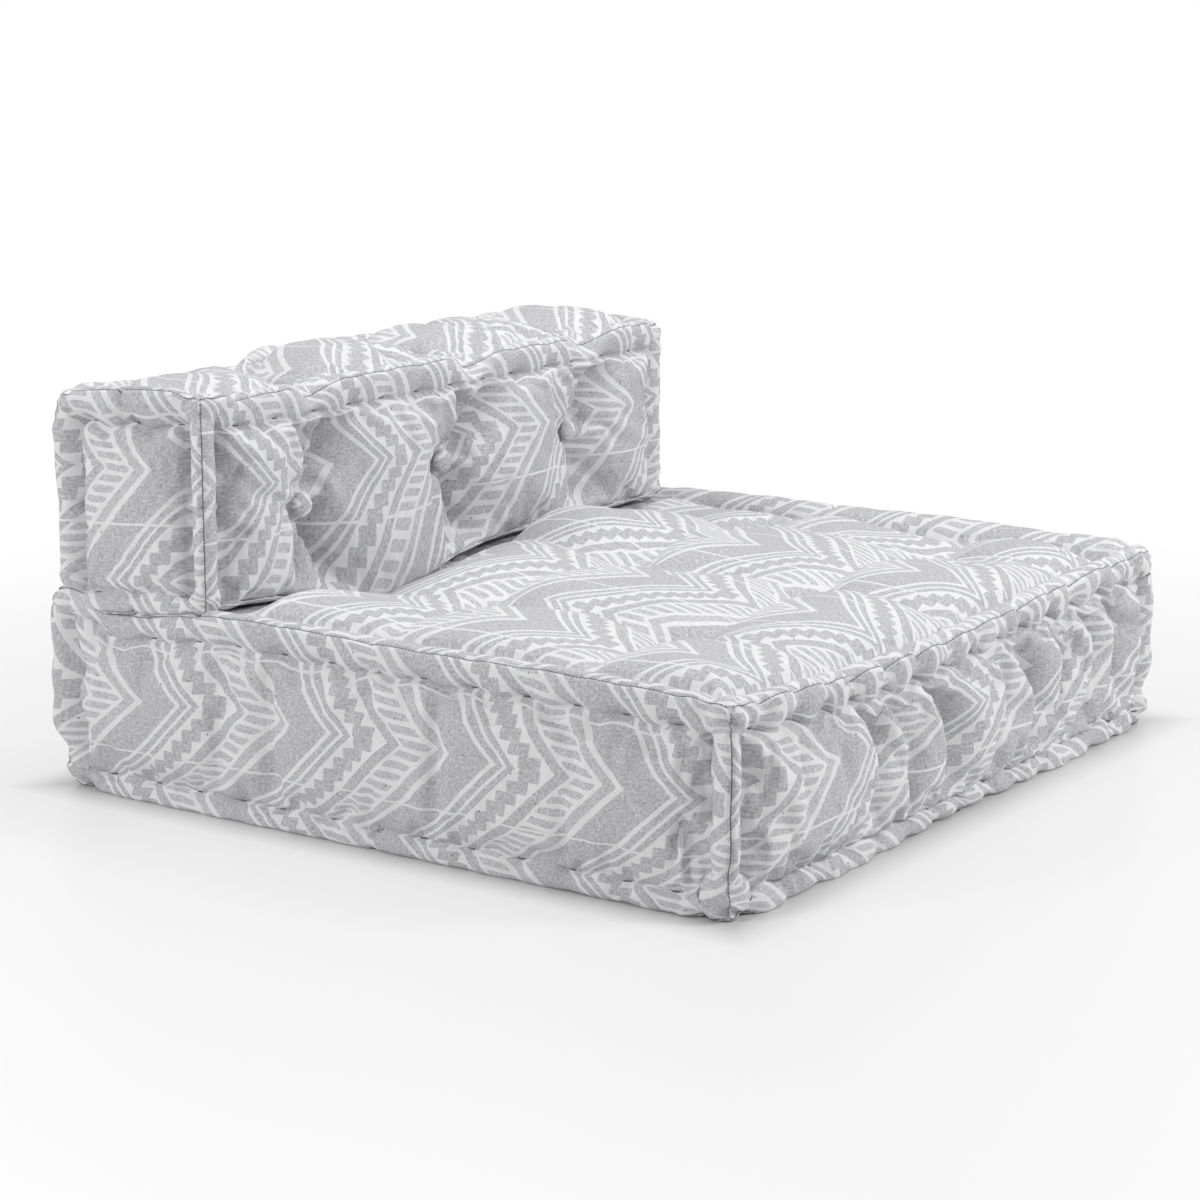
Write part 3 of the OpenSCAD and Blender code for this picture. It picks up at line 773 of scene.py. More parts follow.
def bolster_top():
    """Pillows with valleys across, above each pleat, and a flat part left of the first valley."""
    panel = bolster.panels["top"]
    x = sofa_x(panel)
    from_valleys = [x - front - (back - front) * panel.v / panel.size[1] for front, back in VALLEYS]
    swell = pillow(np.abs(from_valleys).min(axis=0) / TOP_PILLOW_REACH)
    crown = LEFT_CROWN + (TOP_CROWN - LEFT_CROWN) * smooth(from_valleys[0] / LEFT_CROWN_FADE)
    height = panel.base_height(crown, TOP_EDGE_REACH, groove_depths(panel, 0.011, 0.008))
    held = (1 - smooth(10 * (swell - 0.1))) * panel.inside
    ruffle = 0.0015 * waves(x, panel.v, 0.08, 33)
    bolster.shape("top", height + panel.inside * (ruffle - VALLEY_DEPTH * (1 - swell)), held=held)


def bolster_end(face, seed):
    """A plain puffed end."""
    panel = bolster.panels[face]
    height = panel.base_height(END_CROWN, END_SOFTNESS, groove_depths(panel, 0.024, 0.018))
    return height + panel.inside * (0.0015 * waves(panel.u, panel.v, 0.08, seed))


def bolster_bottom():
    """Flat where it stands on the seat."""
    panel = bolster.panels["bottom"]
    return panel.base_height(0.0, FLAT_REACH, groove_depths(panel, 0.006, 0.005))


bolster_face("front")
bolster_face("back")
bolster_top()
bolster.shape("left", bolster_end("left", 34), held=END_HOLD)
bolster.shape("right", bolster_end("right", 35), held=END_HOLD)
bolster.shape("bottom", bolster_bottom(), held=1.0)

# %% [markdown]
# Some shapes belong to the whole cushion and not to a panel. The rolls are turned in at its corners, which
# makes lumpy knobs. The filling's weight presses the bottom rolls flat, and the boxing sags over them. The
# bolster sinks into the seat.

# %% Corners and weight
PRESS_HEIGHT = 0.09
SEAT_SAG, BOLSTER_SAG = 0.013, 0.028
BOLSTER_END_SAG, END_REACH = 0.4, 0.04
UPPER_KNOB, LOWER_KNOB, BOLSTER_KNOB = 0.024, 0.03, 0.02
KNOB_INSET = 0.85
KNOB_FULL, KNOB_REACH = 0.35, 1.35
KNOB_LUMPS, LUMP_LENGTH = 0.1, 0.035


def knobs(points, box, upper, lower):
    """Rounds each corner into a knob: what lies beyond a point inside the corner moves onto a lumpy sphere
    round it, and what lies further back moves less, by smooth((reach - distance back) / fade)."""
    middle = (box[0] + box[1]) / 2
    sides = np.sign(points - middle)
    radius = np.where(points[:, 2:] > middle[2], upper, lower)
    centres = middle + sides * ((box[1] - box[0]) / 2 - KNOB_INSET * radius)
    offset = points - centres
    away = np.linalg.norm(offset, axis=1, keepdims=True)
    back = np.linalg.norm(np.clip(-offset * sides, 0, None), axis=1, keepdims=True)
    share = smooth((KNOB_REACH * radius - back) / ((KNOB_REACH - KNOB_FULL) * radius))
    x, y, z = points[:, :1], points[:, 1:2], points[:, 2:]
    lumps = KNOB_LUMPS * waves(x + z, y - z, LUMP_LENGTH, 77)
    return centres + offset * (1 + share * (radius * (1 + lumps) / np.maximum(away, 1e-6) - 1))


def pressed(points, box, sag, end_share=1.0):
    """Lowers the points just above the bottom seam, by sag at the groove of the bottom roll and less around
    it. At the two ends it is end_share of that."""
    height = points[:, 2] - box[0][2]
    share = np.clip(height / ROLL_WIDTH, 0, 1) * smooth((PRESS_HEIGHT - height) / (PRESS_HEIGHT - ROLL_WIDTH))
    from_end = np.minimum(points[:, 0] - box[0][0], box[1][0] - points[:, 0])
    share *= 1 + (end_share - 1) * smooth(1 - from_end / END_REACH)
    return points - sag * share[:, None] * np.array((0, 0, 1.0))


FRONT_SAG, FRONT_SAG_PLACE, FRONT_SAG_WIDTH, FRONT_SAG_REACH = 0.018, -0.12, 0.3, 0.25
LEFT_RISE, LEFT_REACH = 0.007, 0.1
SETTLE_RISE, SETTLE = 0.004, 0.02
FREE_KNOB, FREE_KNOB_FULL, FREE_KNOB_REACH = (-0.004, 0.012, 0.028), 0.026, 0.058
FREE_COLUMN, FREE_COLUMN_REACH = (-0.008, 0.014, 0.0), 0.07
FILLING_GAP, FLOOR_GAP = 0.006, 0.0006
HANG, HANG_PLACE, HANG_WIDTH, HANG_HEIGHT = 0.042, -0.2, 0.15, 0.13
TILT_FRONT, TILT, TILT_REACH = 0.009, 0.015, 0.08


def under_weight(y):
    """How far back below the bolster a point is: 0 at its front, and 1 at its back."""
    return (y - BOLSTER[0][1]) / (BOLSTER[1][1] - BOLSTER[0][1])


def settled(points):
    """The seat as it has settled: its front edge hangs in the middle, its left edge stands up a little, the
    bolster presses its back down, and its back left corner, which is free, swells out behind that."""
    x, y, z = points.T
    (x0, y0, z0), (_, y1, z1) = SEAT
    top = smooth((z - z0) / (z1 - z0))
    middle = np.exp(-((x - FRONT_SAG_PLACE) / FRONT_SAG_WIDTH) ** 2)
    sag = FRONT_SAG * middle * smooth(1 - (y - y0) / FRONT_SAG_REACH)
    rise = LEFT_RISE * smooth(1 - (x - x0) / LEFT_REACH) - SETTLE * np.clip(under_weight(y), 0, 1)
    column = np.exp(-((x - x0) ** 2 + (y - y1) ** 2) / FREE_COLUMN_REACH ** 2)
    from_knob = np.linalg.norm(points - (x0 + UPPER_KNOB, y1 - UPPER_KNOB, z1 - UPPER_KNOB), axis=1)
    knob = smooth((FREE_KNOB_REACH - from_knob) / (FREE_KNOB_REACH - FREE_KNOB_FULL))
    waist = np.sin(np.pi * np.clip((z - z0) / (z1 - z0), 0, 1))
    move = np.outer(top * (rise - sag), (0, 0, 1.0)) + np.outer(column * waist, FREE_COLUMN)
    return points + move + np.outer(knob, FREE_KNOB)


def clear(points):
    """The seat's canvas kept clear of the top of its filling, and of the floor."""
    filling_top = SEAT[1][2] - PANEL_THICKNESS
    over = np.all(np.abs(points[:, :2]) < SEAT[1][:2] - PANEL_THICKNESS, axis=1)
    over &= points[:, 2] > SEAT[1][2] / 2
    lowest = np.where(over, filling_top + FILLING_GAP, FLOOR_GAP)
    return np.column_stack((points[:, :2], np.maximum(points[:, 2], lowest)))


def sunk(points):
    """The bolster as it has sunk into the seat: its back goes down furthest, and a part of its front hangs
    into the hollow beside the seat's left pillow. Its top stays, but for the left end, which tips back."""
    x, y, z = points.T
    height = z - BOLSTER[0][2]
    low = 1 - smooth(height / (BOLSTER[1][2] - BOLSTER[0][2]))
    settle = (SETTLE_RISE - SETTLE * under_weight(y)) * low
    front = smooth(1 - 2 * under_weight(y))
    hang = HANG * np.exp(-((x - HANG_PLACE) / HANG_WIDTH) ** 2) * front * smooth(1 - height / HANG_HEIGHT)
    tilt = (TILT_FRONT - TILT * under_weight(y)) * (1 - low) * smooth(1 - (x - BOLSTER[0][0]) / TILT_REACH)
    return points + np.outer(settle - hang + tilt, (0, 0, 1.0))


seat.points = settled(knobs(pressed(seat.points, SEAT, SEAT_SAG), SEAT, UPPER_KNOB, LOWER_KNOB))
seat.points = clear(seat.points)
bolster.points = pressed(bolster.points, BOLSTER, BOLSTER_SAG, BOLSTER_END_SAG)
bolster.points = sunk(knobs(bolster.points, BOLSTER, BOLSTER_KNOB, BOLSTER_KNOB))

# %% [markdown]
# The filling pushes the canvas out, and canvas that has nowhere to go folds. Blender's Cloth does this well
# on a mesh of even cells, so the covers are inflated on every second line of their lattice, with the
# stitches, tufts and undersides held. Each point may move only so far. What the cloth moved is then spread
# over all the lines, and each cover becomes a mesh.

# %% Inflating with Cloth, and the finished covers
CLOTH_FRAMES = 24
CLOTH_SETTINGS = {
    "quality": 6, "mass": 0.3, "tension_stiffness": 15, "compression_stiffness": 15, "shear_stiffness": 5,
    "bending_stiffness": 0.2, "tension_damping": 5, "compression_damping": 5, "shear_damping": 5,
    "air_damping": 2, "vertex_group_mass": "held", "pin_stiffness": 1, "use_pressure": True,
}
# Pressure inside, share of surplus canvas, and how far a point may move
SEAT_CLOTH = 2.5, 0.055, 0.011
BOLSTER_CLOTH = 3.0, 0.05, 0.012


def coarse_lattice(cushion):
    """Numbers of the lattice points on every second line, and four-sided faces between them."""
    grids = {face: ids[::2, ::2] for face, ids in cushion.slices.items()}
    kept = np.unique(np.concatenate([grid.ravel() for grid in grids.values()]))
    number = np.full(cushion.count, -1)
    number[kept] = np.arange(len(kept))
    quads = []
    for grid in grids.values():
        g = number[grid]
        quads.append(np.stack((g[:-1, :-1], g[1:, :-1], g[1:, 1:], g[:-1, 1:]), axis=-1).reshape(-1, 4))
    return kept, np.concatenate(quads)


def halfway(grid, axis):
    """Values on every line from those on every second one: a new line is a cubic through four others."""
    grid = np.moveaxis(grid, axis, 0)
    wide = np.concatenate((2 * grid[:1] - grid[1:2], grid, 2 * grid[-1:] - grid[-2:-1]))
    between = (9 * (wide[1:-2] + wide[2:-1]) - wide[:-3] - wide[3:]) / 16
    full = np.empty((2 * len(grid) - 1, *grid.shape[1:]))
    full[::2], full[1::2] = grid, between
    return np.moveaxis(full, 0, axis)


def inflate(cushion, pressure, surplus, limit):
    """Swells a cover by simulated cloth with surplus canvas, and returns how far each point moves."""
    kept, quads = coarse_lattice(cushion)
    start = cushion.points[kept]
    bag = mesh_object(cushion.name + "_bag", start, quads)
    group = bag.vertex_groups.new(name="held")
    held = np.round(cushion.held[kept], 2)
    for weight in np.unique(held[held > 0]):
        group.add(np.flatnonzero(held == weight).tolist(), float(weight), "REPLACE")
    cloth = bag.modifiers.new("cloth", "CLOTH")
    for name, value in CLOTH_SETTINGS.items():
        setattr(cloth.settings, name, value)
    cloth.settings.uniform_pressure_force = pressure
    cloth.settings.shrink_min = -surplus
    cloth.settings.effector_weights.gravity = 0
    cloth.collision_settings.use_collision = False
    cloth.point_cache.frame_end = CLOTH_FRAMES
    for frame_number in range(1, CLOTH_FRAMES + 1):
        bpy.context.scene.frame_set(frame_number)
    result = bag.evaluated_get(bpy.context.evaluated_depsgraph_get()).to_mesh()
    moved = np.empty(len(start) * 3, np.float32)
    result.vertices.foreach_get("co", moved)
    move = moved.reshape(-1, 3) - start
    bpy.context.scene.frame_set(1)
    bpy.data.objects.remove(bag)
    far = np.linalg.norm(move, axis=1)
    print(cushion.name, "cloth moved: mean %.1f mm, most %.1f mm" % (1000 * far.mean(), 1000 * far.max()))
    move *= (limit * np.tanh(far / limit) / np.maximum(far, 1e-9))[:, None]
    moves = np.zeros((cushion.count, 3))
    moves[kept] = move
    for ids in cushion.slices.values():
        moves[ids] = halfway(halfway(moves[ids[::2, ::2]], 0), 1)
    return moves


seat.points += inflate(seat, *SEAT_CLOTH)
bolster.points += inflate(bolster, *BOLSTER_CLOTH)

seat_cover, bolster_cover = (mesh_object(cushion.name, cushion.points, *cushion.faces())
                             for cushion in (seat, bolster))
for cushion in (seat, bolster):
    low, high = cushion.points.min(axis=0), cushion.points.max(axis=0)
    print(cushion.name, "points:", cushion.count, "box:", low.round(4), high.round(4))

# %% [markdown]
# Each seam is sewn with grey thread, whose short stitches lie in the seam's own small furrow. The rolls are
# held by long stitches of thicker thread that surface in the groove of the boxing. Both follow the finished
# cover: a seam's path is a row of its points, and each stitch is a small closed rod laid along that path.

# %% Threads
ROD_SIDES = 6
ROD_TIP = 0.45
SEAM_PITCH, SEAM_STITCH, SEAM_THREAD = 0.0052, 0.0045, 0.0006
GROOVE_THREAD = 0.0011
SEAM_LIFT, GROOVE_LIFT = 0.0004, 0.0012
EDGE_PAIRS = [("top", side) for side in FACES[2:]] + [("bottom", side) for side in FACES[2:]]


def rods(starts, ends, radius):
    """Closed rods between pairs of points, each of four rings: the two at its ends are drawn in. Rings are
    circles in the plane square to the rod. Returns points and four-sided faces."""
    along = ends - starts
    along /= np.linalg.norm(along, axis=1, keepdims=True)
    rough = np.where(np.abs(along[:, 2:]) > 0.9, (1.0, 0, 0), (0, 0, 1.0))
    side = np.cross(along, rough)
    side /= np.linalg.norm(side, axis=1, keepdims=True)
    other = np.cross(along, side)
    turn = 2 * np.pi * np.arange(ROD_SIDES) / ROD_SIDES
    ring = np.cos(turn)[:, None] * side[:, None] + np.sin(turn)[:, None] * other[:, None]
    tip = along * radius
    centres = np.stack((starts, starts + tip, ends - tip, ends), axis=1)
    sizes = radius * np.array([ROD_TIP, 1.0, 1.0, ROD_TIP])
    points = centres[:, :, None] + sizes[None, :, None, None] * ring[:, None]
    a = np.arange(ROD_SIDES)
    b = (a + 1) % ROD_SIDES
    wall = np.stack((a, b, b + ROD_SIDES, a + ROD_SIDES), axis=1)
    cap = np.array([(0, 1, 2, 3), (0, 3, 4, 5)])
    faces = np.concatenate([wall + k * ROD_SIDES for k in range(3)] + [cap[:, ::-1], cap + 3 * ROD_SIDES])
    first = 4 * ROD_SIDES * np.arange(len(starts))
    return points.reshape(-1, 3), (faces + first[:, None, None]).reshape(-1, 4)


def along_path(path, places):
    """Points at the given distances along a path of points."""
    run = np.concatenate(([0], np.cumsum(np.linalg.norm(np.diff(path, axis=0), axis=1))))
    return np.stack([np.interp(places, run, path[:, k]) for k in range(3)], axis=1)


def seam_path(cushion, face_a, face_b):
    """The finished cover's points on the seam between two faces, lifted a little out of the furrow."""
    ids = np.intersect1d(cushion.slices[face_a], cushion.slices[face_b])
    axis = int(np.argmax(np.ptp(cushion.points[ids], axis=0)))
    ids = ids[np.argsort(cushion.points[ids][:, axis])]
    out = cushion.panels[face_a].out + cushion.panels[face_b].out
    return cushion.points[ids] + SEAM_LIFT * out


def seam_threads(cushion):
    """The short stitches of all twelve seams."""
    starts, ends = [], []
    for face_a, face_b in EDGE_PAIRS + UPRIGHT_PAIRS:
        path = seam_path(cushion, face_a, face_b)
        length = np.linalg.norm(np.diff(path, axis=0), axis=1).sum()
        places = np.arange(SEAM_PITCH, length - SEAM_PITCH, SEAM_PITCH)
        starts.append(along_path(path, places - SEAM_STITCH / 2))
        ends.append(along_path(path, places + SEAM_STITCH / 2))
    return rods(np.concatenate(starts), np.concatenate(ends), SEAM_THREAD)


def groove_row(cushion, face, neighbour):
    """The finished cover's points along the groove of one boxing panel beside a neighbour."""
    ids = cushion.slices[face]
    return cushion.points[ids[:, GROOVE_LINE] if neighbour == "bottom" else ids[:, -1 - GROOVE_LINE]]


def groove_stitches(cushion, neighbour):
    """The long stitches that show in the grooves of the four boxing panels beside the top or the bottom."""
    starts, ends = [], []
    for face in FACES[2:]:
        path = groove_row(cushion, face, neighbour)
        axis = int(np.argmax(np.abs(cushion.panels[face].across)))
        order = np.argsort(path[:, axis])
        path = path[order] + GROOVE_LIFT * cushion.panels[face].out
        for tips, offset in ((starts, -0.5), (ends, 0.5)):
            places = cushion.stitches(face, neighbour) + offset * STITCH_LENGTH
            tips.append(np.stack([np.interp(places, path[:, axis], path[:, k]) for k in range(3)], axis=1))
    return rods(np.concatenate(starts), np.concatenate(ends), GROOVE_THREAD)


threads = {}
for cushion, body in ((seat, "seat"), (bolster, "bolster")):
    threads[f"{body}_seam_threads"] = mesh_object(f"{body}_seam_threads", *seam_threads(cushion))
    for row, neighbour in (("upper", "top"), ("lower", "bottom")):
        name = f"{body}_{row}_groove_stitches"
        threads[name] = mesh_object(name, *groove_stitches(cushion, neighbour))
print("threads:", {name: len(piece.data.polygons) for name, piece in threads.items()})

# %% [markdown]
# A tufting button is a metal mould with a round of the same canvas pulled over it. The canvas is smooth on
# the dome and gathers into small pleats where it turns under the rim. The dome is made of rings and spokes.

# %% Buttons
BUTTON_HEIGHT = 0.0105
BUTTON_RINGS, BUTTON_SPOKES = 10, 32
BUTTON_TILT = 0.12


def button_shape(seed):
    """One covered button with its back at the origin and its dome towards +Z: rings from the middle of the
    dome over the rim to the middle of the back, with pleats that deepen towards the rim."""
    draw = np.random.default_rng(seed)
    turn = 2 * np.pi * np.arange(BUTTON_SPOKES) / BUTTON_SPOKES
    t = np.concatenate((np.linspace(0.06, 1, BUTTON_RINGS - 3), (1.0, 0.8, 0.06)))
    dome = BUTTON_HEIGHT * np.concatenate((0.28 + 0.72 * np.sqrt(1 - t[:-3] ** 2), (0.12, 0.0, 0.0)))
    pleats = np.cos(9 * turn + draw.uniform(0, 6)) + 0.6 * np.cos(14 * turn + draw.uniform(0, 6))
    rim = np.clip((t - 0.55) / 0.45, 0, 1)[:, None]
    radius = BUTTON_RADIUS * t[:, None] * (1 + 0.025 * rim * pleats)
    x, y = radius * np.cos(turn), radius * np.sin(turn)
    z = dome[:, None] + 0.0003 * rim * pleats
    return np.stack((x, y, z * np.ones_like(x)), axis=-1)


def button_faces():
    """Four-sided faces between the rings, and two fans of them that close the middles."""
    spoke = np.arange(BUTTON_SPOKES)
    after = (spoke + 1) % BUTTON_SPOKES
    ring = np.stack((spoke, spoke + BUTTON_SPOKES, after + BUTTON_SPOKES, after), axis=1)
    rings = [ring + k * BUTTON_SPOKES for k in range(BUTTON_RINGS - 1)]
    half = np.arange(BUTTON_SPOKES // 2 - 1)
    lid = np.stack((half, half + 1, BUTTON_SPOKES - 2 - half, BUTTON_SPOKES - 1 - half), axis=1)
    return np.concatenate((*rings, lid, lid[:, ::-1] + (BUTTON_RINGS - 1) * BUTTON_SPOKES))


def buttons(name, backs, out):
    """Covered buttons at the given places, facing out, each with its own pleats and a small tilt."""
    draw = np.random.default_rng(len(name))
    up = np.array(out, float)
    side = np.cross(up, (0.3, 0.2, 1.0) if abs(up[2]) < 0.9 else (1.0, 0.2, 0))
    side /= np.linalg.norm(side)
    points, faces, uvs = [], [], []
    base = button_faces()
    for i, back in enumerate(backs):
        lean = up + BUTTON_TILT * draw.uniform(-1, 1, 3)
        lean /= np.linalg.norm(lean)
        first = side - lean * (side @ lean)
        first /= np.linalg.norm(first)
        shape = button_shape(i + len(name)).reshape(-1, 3)
        points.append(np.array(back) + shape @ np.stack((first, np.cross(lean, first), lean)))
        faces.append(base + i * len(shape))
        uvs.append((shape[:, :2] + draw.uniform(0, 1, 2))[base])
    return mesh_object(name, np.concatenate(points), np.concatenate(faces), np.concatenate(uvs))


def backs_at(centres, axis, place):
    """Points whose coordinate along axis is place, and whose other two are a centre's."""
    return [np.insert(np.array(centre, float), axis, place) for centre in centres]


BUTTON_ROWS = {
    "seat_top_buttons": (SEAT_TUFTS, 2, SEAT[1][2] - SEAT_TUFT_DEPTH, (0, 0, 1), "seat"),
    "seat_bottom_buttons": (SEAT_TUFTS, 2, UNDERSIDE_DENT, (0, 0, -1), "seat"),
    "bolster_front_buttons": (BOLSTER_TUFTS, 1, BOLSTER[0][1] + BOLSTER_TUFT_DEPTH, (0, -1, 0), "bolster"),
    "bolster_back_buttons": (BOLSTER_TUFTS, 1, BOLSTER[1][1] - BOLSTER_TUFT_DEPTH, (0, 1, 0), "bolster"),
}
button_pieces = {}
for node, (centres, axis, place, out, body) in BUTTON_ROWS.items():
    button_pieces[node] = buttons("covered_" + node, backs_at(centres, axis, place), out)

# %% [markdown]
# Materials are node graphs. A few helpers keep them short: one turns an sRGB hex colour, as a painter would
# name it, into the linear numbers that the shader wants, one adds a node with its settings and links, and
# the rest are made of those.

# %% Helpers for materials
def linear(hex_colour):
    """sRGB hex to linear RGBA: each channel undone from the display's curve."""
    srgb = np.array([int(hex_colour[i:i + 2], 16) / 255 for i in (1, 3, 5)])
    value = np.where(srgb <= 0.04045, srgb / 12.92, ((srgb + 0.055) / 1.055) ** 2.4)
    return (*value.tolist(), 1.0)


def add(tree, kind, settings=None, inputs=None):
    """Adds a node: settings are its own values, and inputs are numbers, or sockets to link."""
    node = tree.nodes.new(kind)
    for name, value in (settings or {}).items():
        setattr(node, name, value)
    for name, value in (inputs or {}).items():
        if isinstance(value, bpy.types.NodeSocket):
            tree.links.new(value, node.inputs[name])
        else:
            node.inputs[name].default_value = value
    return node


def calculate(tree, operation, *values):
    """A Math node's result for numbers or sockets."""
    return add(tree, "ShaderNodeMath", {"operation": operation}, dict(enumerate(values))).outputs[0]


def vector(tree, operation, *values):
    """A Vector Math node's result for vectors or sockets."""
    return add(tree, "ShaderNodeVectorMath", {"operation": operation}, dict(enumerate(values))).outputs[0]


def split(tree, value):
    """The three numbers of a vector or colour."""
    return add(tree, "ShaderNodeSeparateXYZ", inputs={0: value}).outputs


def mix(tree, share, first, second):
    """A colour from first, at share 0, to second, at share 1."""
    return add(tree, "ShaderNodeMix", {"data_type": "RGBA"}, {0: share, 6: first, 7: second}).outputs[2]


def noise(tree, place, size, detail):
    """Noise around 0.5 whose lumps are about the given size in metres."""
    inputs = {"Vector": place, "Scale": 1 / size, "Detail": detail}
    return add(tree, "ShaderNodeTexNoise", inputs=inputs).outputs[0]


def spread(tree, value, low, high, to_low=0.0, to_high=1.0):
    """Map Range, clamped: low becomes to_low and high becomes to_high."""
    inputs = {0: value, 1: low, 2: high, 3: to_low, 4: to_high}
    return add(tree, "ShaderNodeMapRange", inputs=inputs).outputs[0]


def new_material(name):
    """An empty material with its output and a principled shader."""
    material = bpy.data.materials.new(name)
    material.use_nodes = True
    tree = material.node_tree
    tree.nodes.clear()
    shader = add(tree, "ShaderNodeBsdfPrincipled")
    add(tree, "ShaderNodeOutputMaterial", inputs={"Surface": shader.outputs[0]})
    return material, tree, shader


def dress(tree, shader, colour, roughness, height, strength, distance):
    """Gives a shader its colour, its roughness, and the relief of a height that is distance metres at 1."""
    inputs = {"Height": height, "Strength": strength, "Distance": distance}
    relief = add(tree, "ShaderNodeBump", inputs=inputs)
    tree.links.new(colour, shader.inputs["Base Color"])
    tree.links.new(relief.outputs[0], shader.inputs["Normal"])
    shader.inputs["Roughness"].default_value = roughness


# %% [markdown]
# The canvas is off-white cotton with a traditional zigzag printed in two pale greys. The print is worked
# out from the canvas coordinates: the distance across to the nearest point of the zigzag says which band a
# place is in. The arms are curved like an S, and thin unprinted lines run between the rows where the
# printing screens meet.

# %% Printed canvas
PRINT_REPEAT = 0.24
ZIGZAG = 0.26
ZIGZAG_RISE = 0.13
ARM_CURVE, ARM_CURVE_SHARE = 0.05, 0.25
BLOCK = 0.0137
RUNG = 0.0133
ROW_LINE = 0.0014
GROUND, PALE_GREY, GREY = "#E3E3E4", "#CDCDCF", "#ACACAF"
FLECK_COLOUR = "#77777A"
# Each band of the repeat: where it starts in metres, and how much ink it has
BANDS = [
    (0.0, 1.0), (0.058, 0.0), (0.0655, 1.0), (0.076, 0.0), (0.082, 1.0), (0.092, 0.0), (0.144, 1.0),
    (0.162, 0.0), (0.212, 0.85), (0.229, 0.0),
]
LADDER_MIDDLE, LADDER_HALF = 0.1865, 0.0185
RUNG_MIDDLE, RUNG_HALF = 0.69, 0.31
RUNG_SLANT, RUNG_INK = 0.08, 0.85
CHAIN_MIDDLE, CHAIN_HALF = 0.1185, 0.014
BLOCK_REACH = 0.56
WOBBLE, WOBBLE_SCALE = (0.0009, 0.0009, 0), 30.0
GRAIN_SIZE, SLUB_SIZE, CLOUD_SIZE = 0.0032, 0.0024, 0.012
SLUB_WAYS = (1, 0.3, 1), (0.3, 1, 1)
FLECK_SCALE, FLECK_RADIUS, FLECK_RARITY, FLECK_SHARE = 28.0, 0.034, 0.7, 0.8


def bands(tree, position, edges):
    """A ramp with hard edges: each edge is a place along the repeat in metres, and the ink from there."""
    ramp = add(tree, "ShaderNodeValToRGB", inputs={0: position})
    ramp.color_ramp.interpolation = "CONSTANT"
    stops = ramp.color_ramp.elements
    for i, (place, ink) in enumerate(edges):
        stop = stops[i] if i < 2 else stops.new(place / PRINT_REPEAT)
        stop.position = place / PRINT_REPEAT
        stop.color = (ink, ink, ink, 1)
    return ramp.outputs[0]


def zigzag_place(tree, u, v):
    """Place within the repeat, from 0 to 1, of a point of canvas: (u + rise g(s)) / repeat, where s goes
    from 0 at one tip of the zigzag to 1 at the next, and g(s) = s + c sin(2 pi s) / (2 pi). A rising
    arm has a larger c."""
    s = calculate(tree, "DIVIDE", calculate(tree, "PINGPONG", v, ZIGZAG / 2), ZIGZAG / 2)
    rising = calculate(tree, "LESS_THAN", calculate(tree, "FRACT", calculate(tree, "DIVIDE", v, ZIGZAG)), 0.5)
    curve = calculate(tree, "MULTIPLY_ADD", rising, ARM_CURVE_SHARE, ARM_CURVE)
    wave = calculate(tree, "SINE", calculate(tree, "MULTIPLY", s, 2 * math.pi))
    bent = calculate(tree, "MULTIPLY_ADD", calculate(tree, "MULTIPLY", curve, wave), 1 / (2 * math.pi), s)
    across = calculate(tree, "MULTIPLY_ADD", bent, ZIGZAG_RISE, u)
    return calculate(tree, "FRACT", calculate(tree, "DIVIDE", across, PRINT_REPEAT)), s


def rounded(tree, across, middle, half, along, reach):
    """1 inside a block with round corners and 0 outside: x^6 + y^6 < 1, where x is the distance across from
    the middle over half the width, and y is the distance along over the reach."""
    offset = calculate(tree, "SUBTRACT", across, middle / PRINT_REPEAT)
    x = calculate(tree, "DIVIDE", offset, half / PRINT_REPEAT)
    y = calculate(tree, "DIVIDE", along, reach)
    sixth = [calculate(tree, "POWER", calculate(tree, "ABSOLUTE", value), 6.0) for value in (x, y)]
    return calculate(tree, "LESS_THAN", calculate(tree, "ADD", *sixth), 1.0)


def print_ink(tree, place):
    """Ink from 0 to 1 at a place on the canvas: bands and rungs, cut by the lines between the rows, and a
    chain of blocks. The blocks climb in steps, because each takes the zigzag's place at its middle."""
    u, v, _ = split(tree, place)
    where, s = zigzag_place(tree, u, v)
    rung = calculate(tree, "DIVIDE", calculate(tree, "MULTIPLY_ADD", u, RUNG_SLANT, v), RUNG)
    from_rung = calculate(tree, "SUBTRACT", calculate(tree, "FRACT", rung), RUNG_MIDDLE)
    rungs = rounded(tree, where, LADDER_MIDDLE, LADDER_HALF, from_rung, RUNG_HALF)
    ink = calculate(tree, "MULTIPLY_ADD", rungs, RUNG_INK, bands(tree, where, BANDS))
    from_line = calculate(tree, "ABSOLUTE", calculate(tree, "SUBTRACT", s, 0.5))
    off_line = calculate(tree, "GREATER_THAN", from_line, ROW_LINE / (ZIGZAG / 2))
    row = calculate(tree, "DIVIDE", v, BLOCK)
    step = calculate(tree, "MULTIPLY_ADD", calculate(tree, "FLOOR", row), BLOCK, BLOCK / 2)
    block_at, _ = zigzag_place(tree, u, step)
    from_block = calculate(tree, "SUBTRACT", calculate(tree, "FRACT", row), 0.5)
    blocks = rounded(tree, block_at, CHAIN_MIDDLE, CHAIN_HALF, from_block, BLOCK_REACH)
    return calculate(tree, "MAXIMUM", calculate(tree, "MULTIPLY", ink, off_line), blocks)


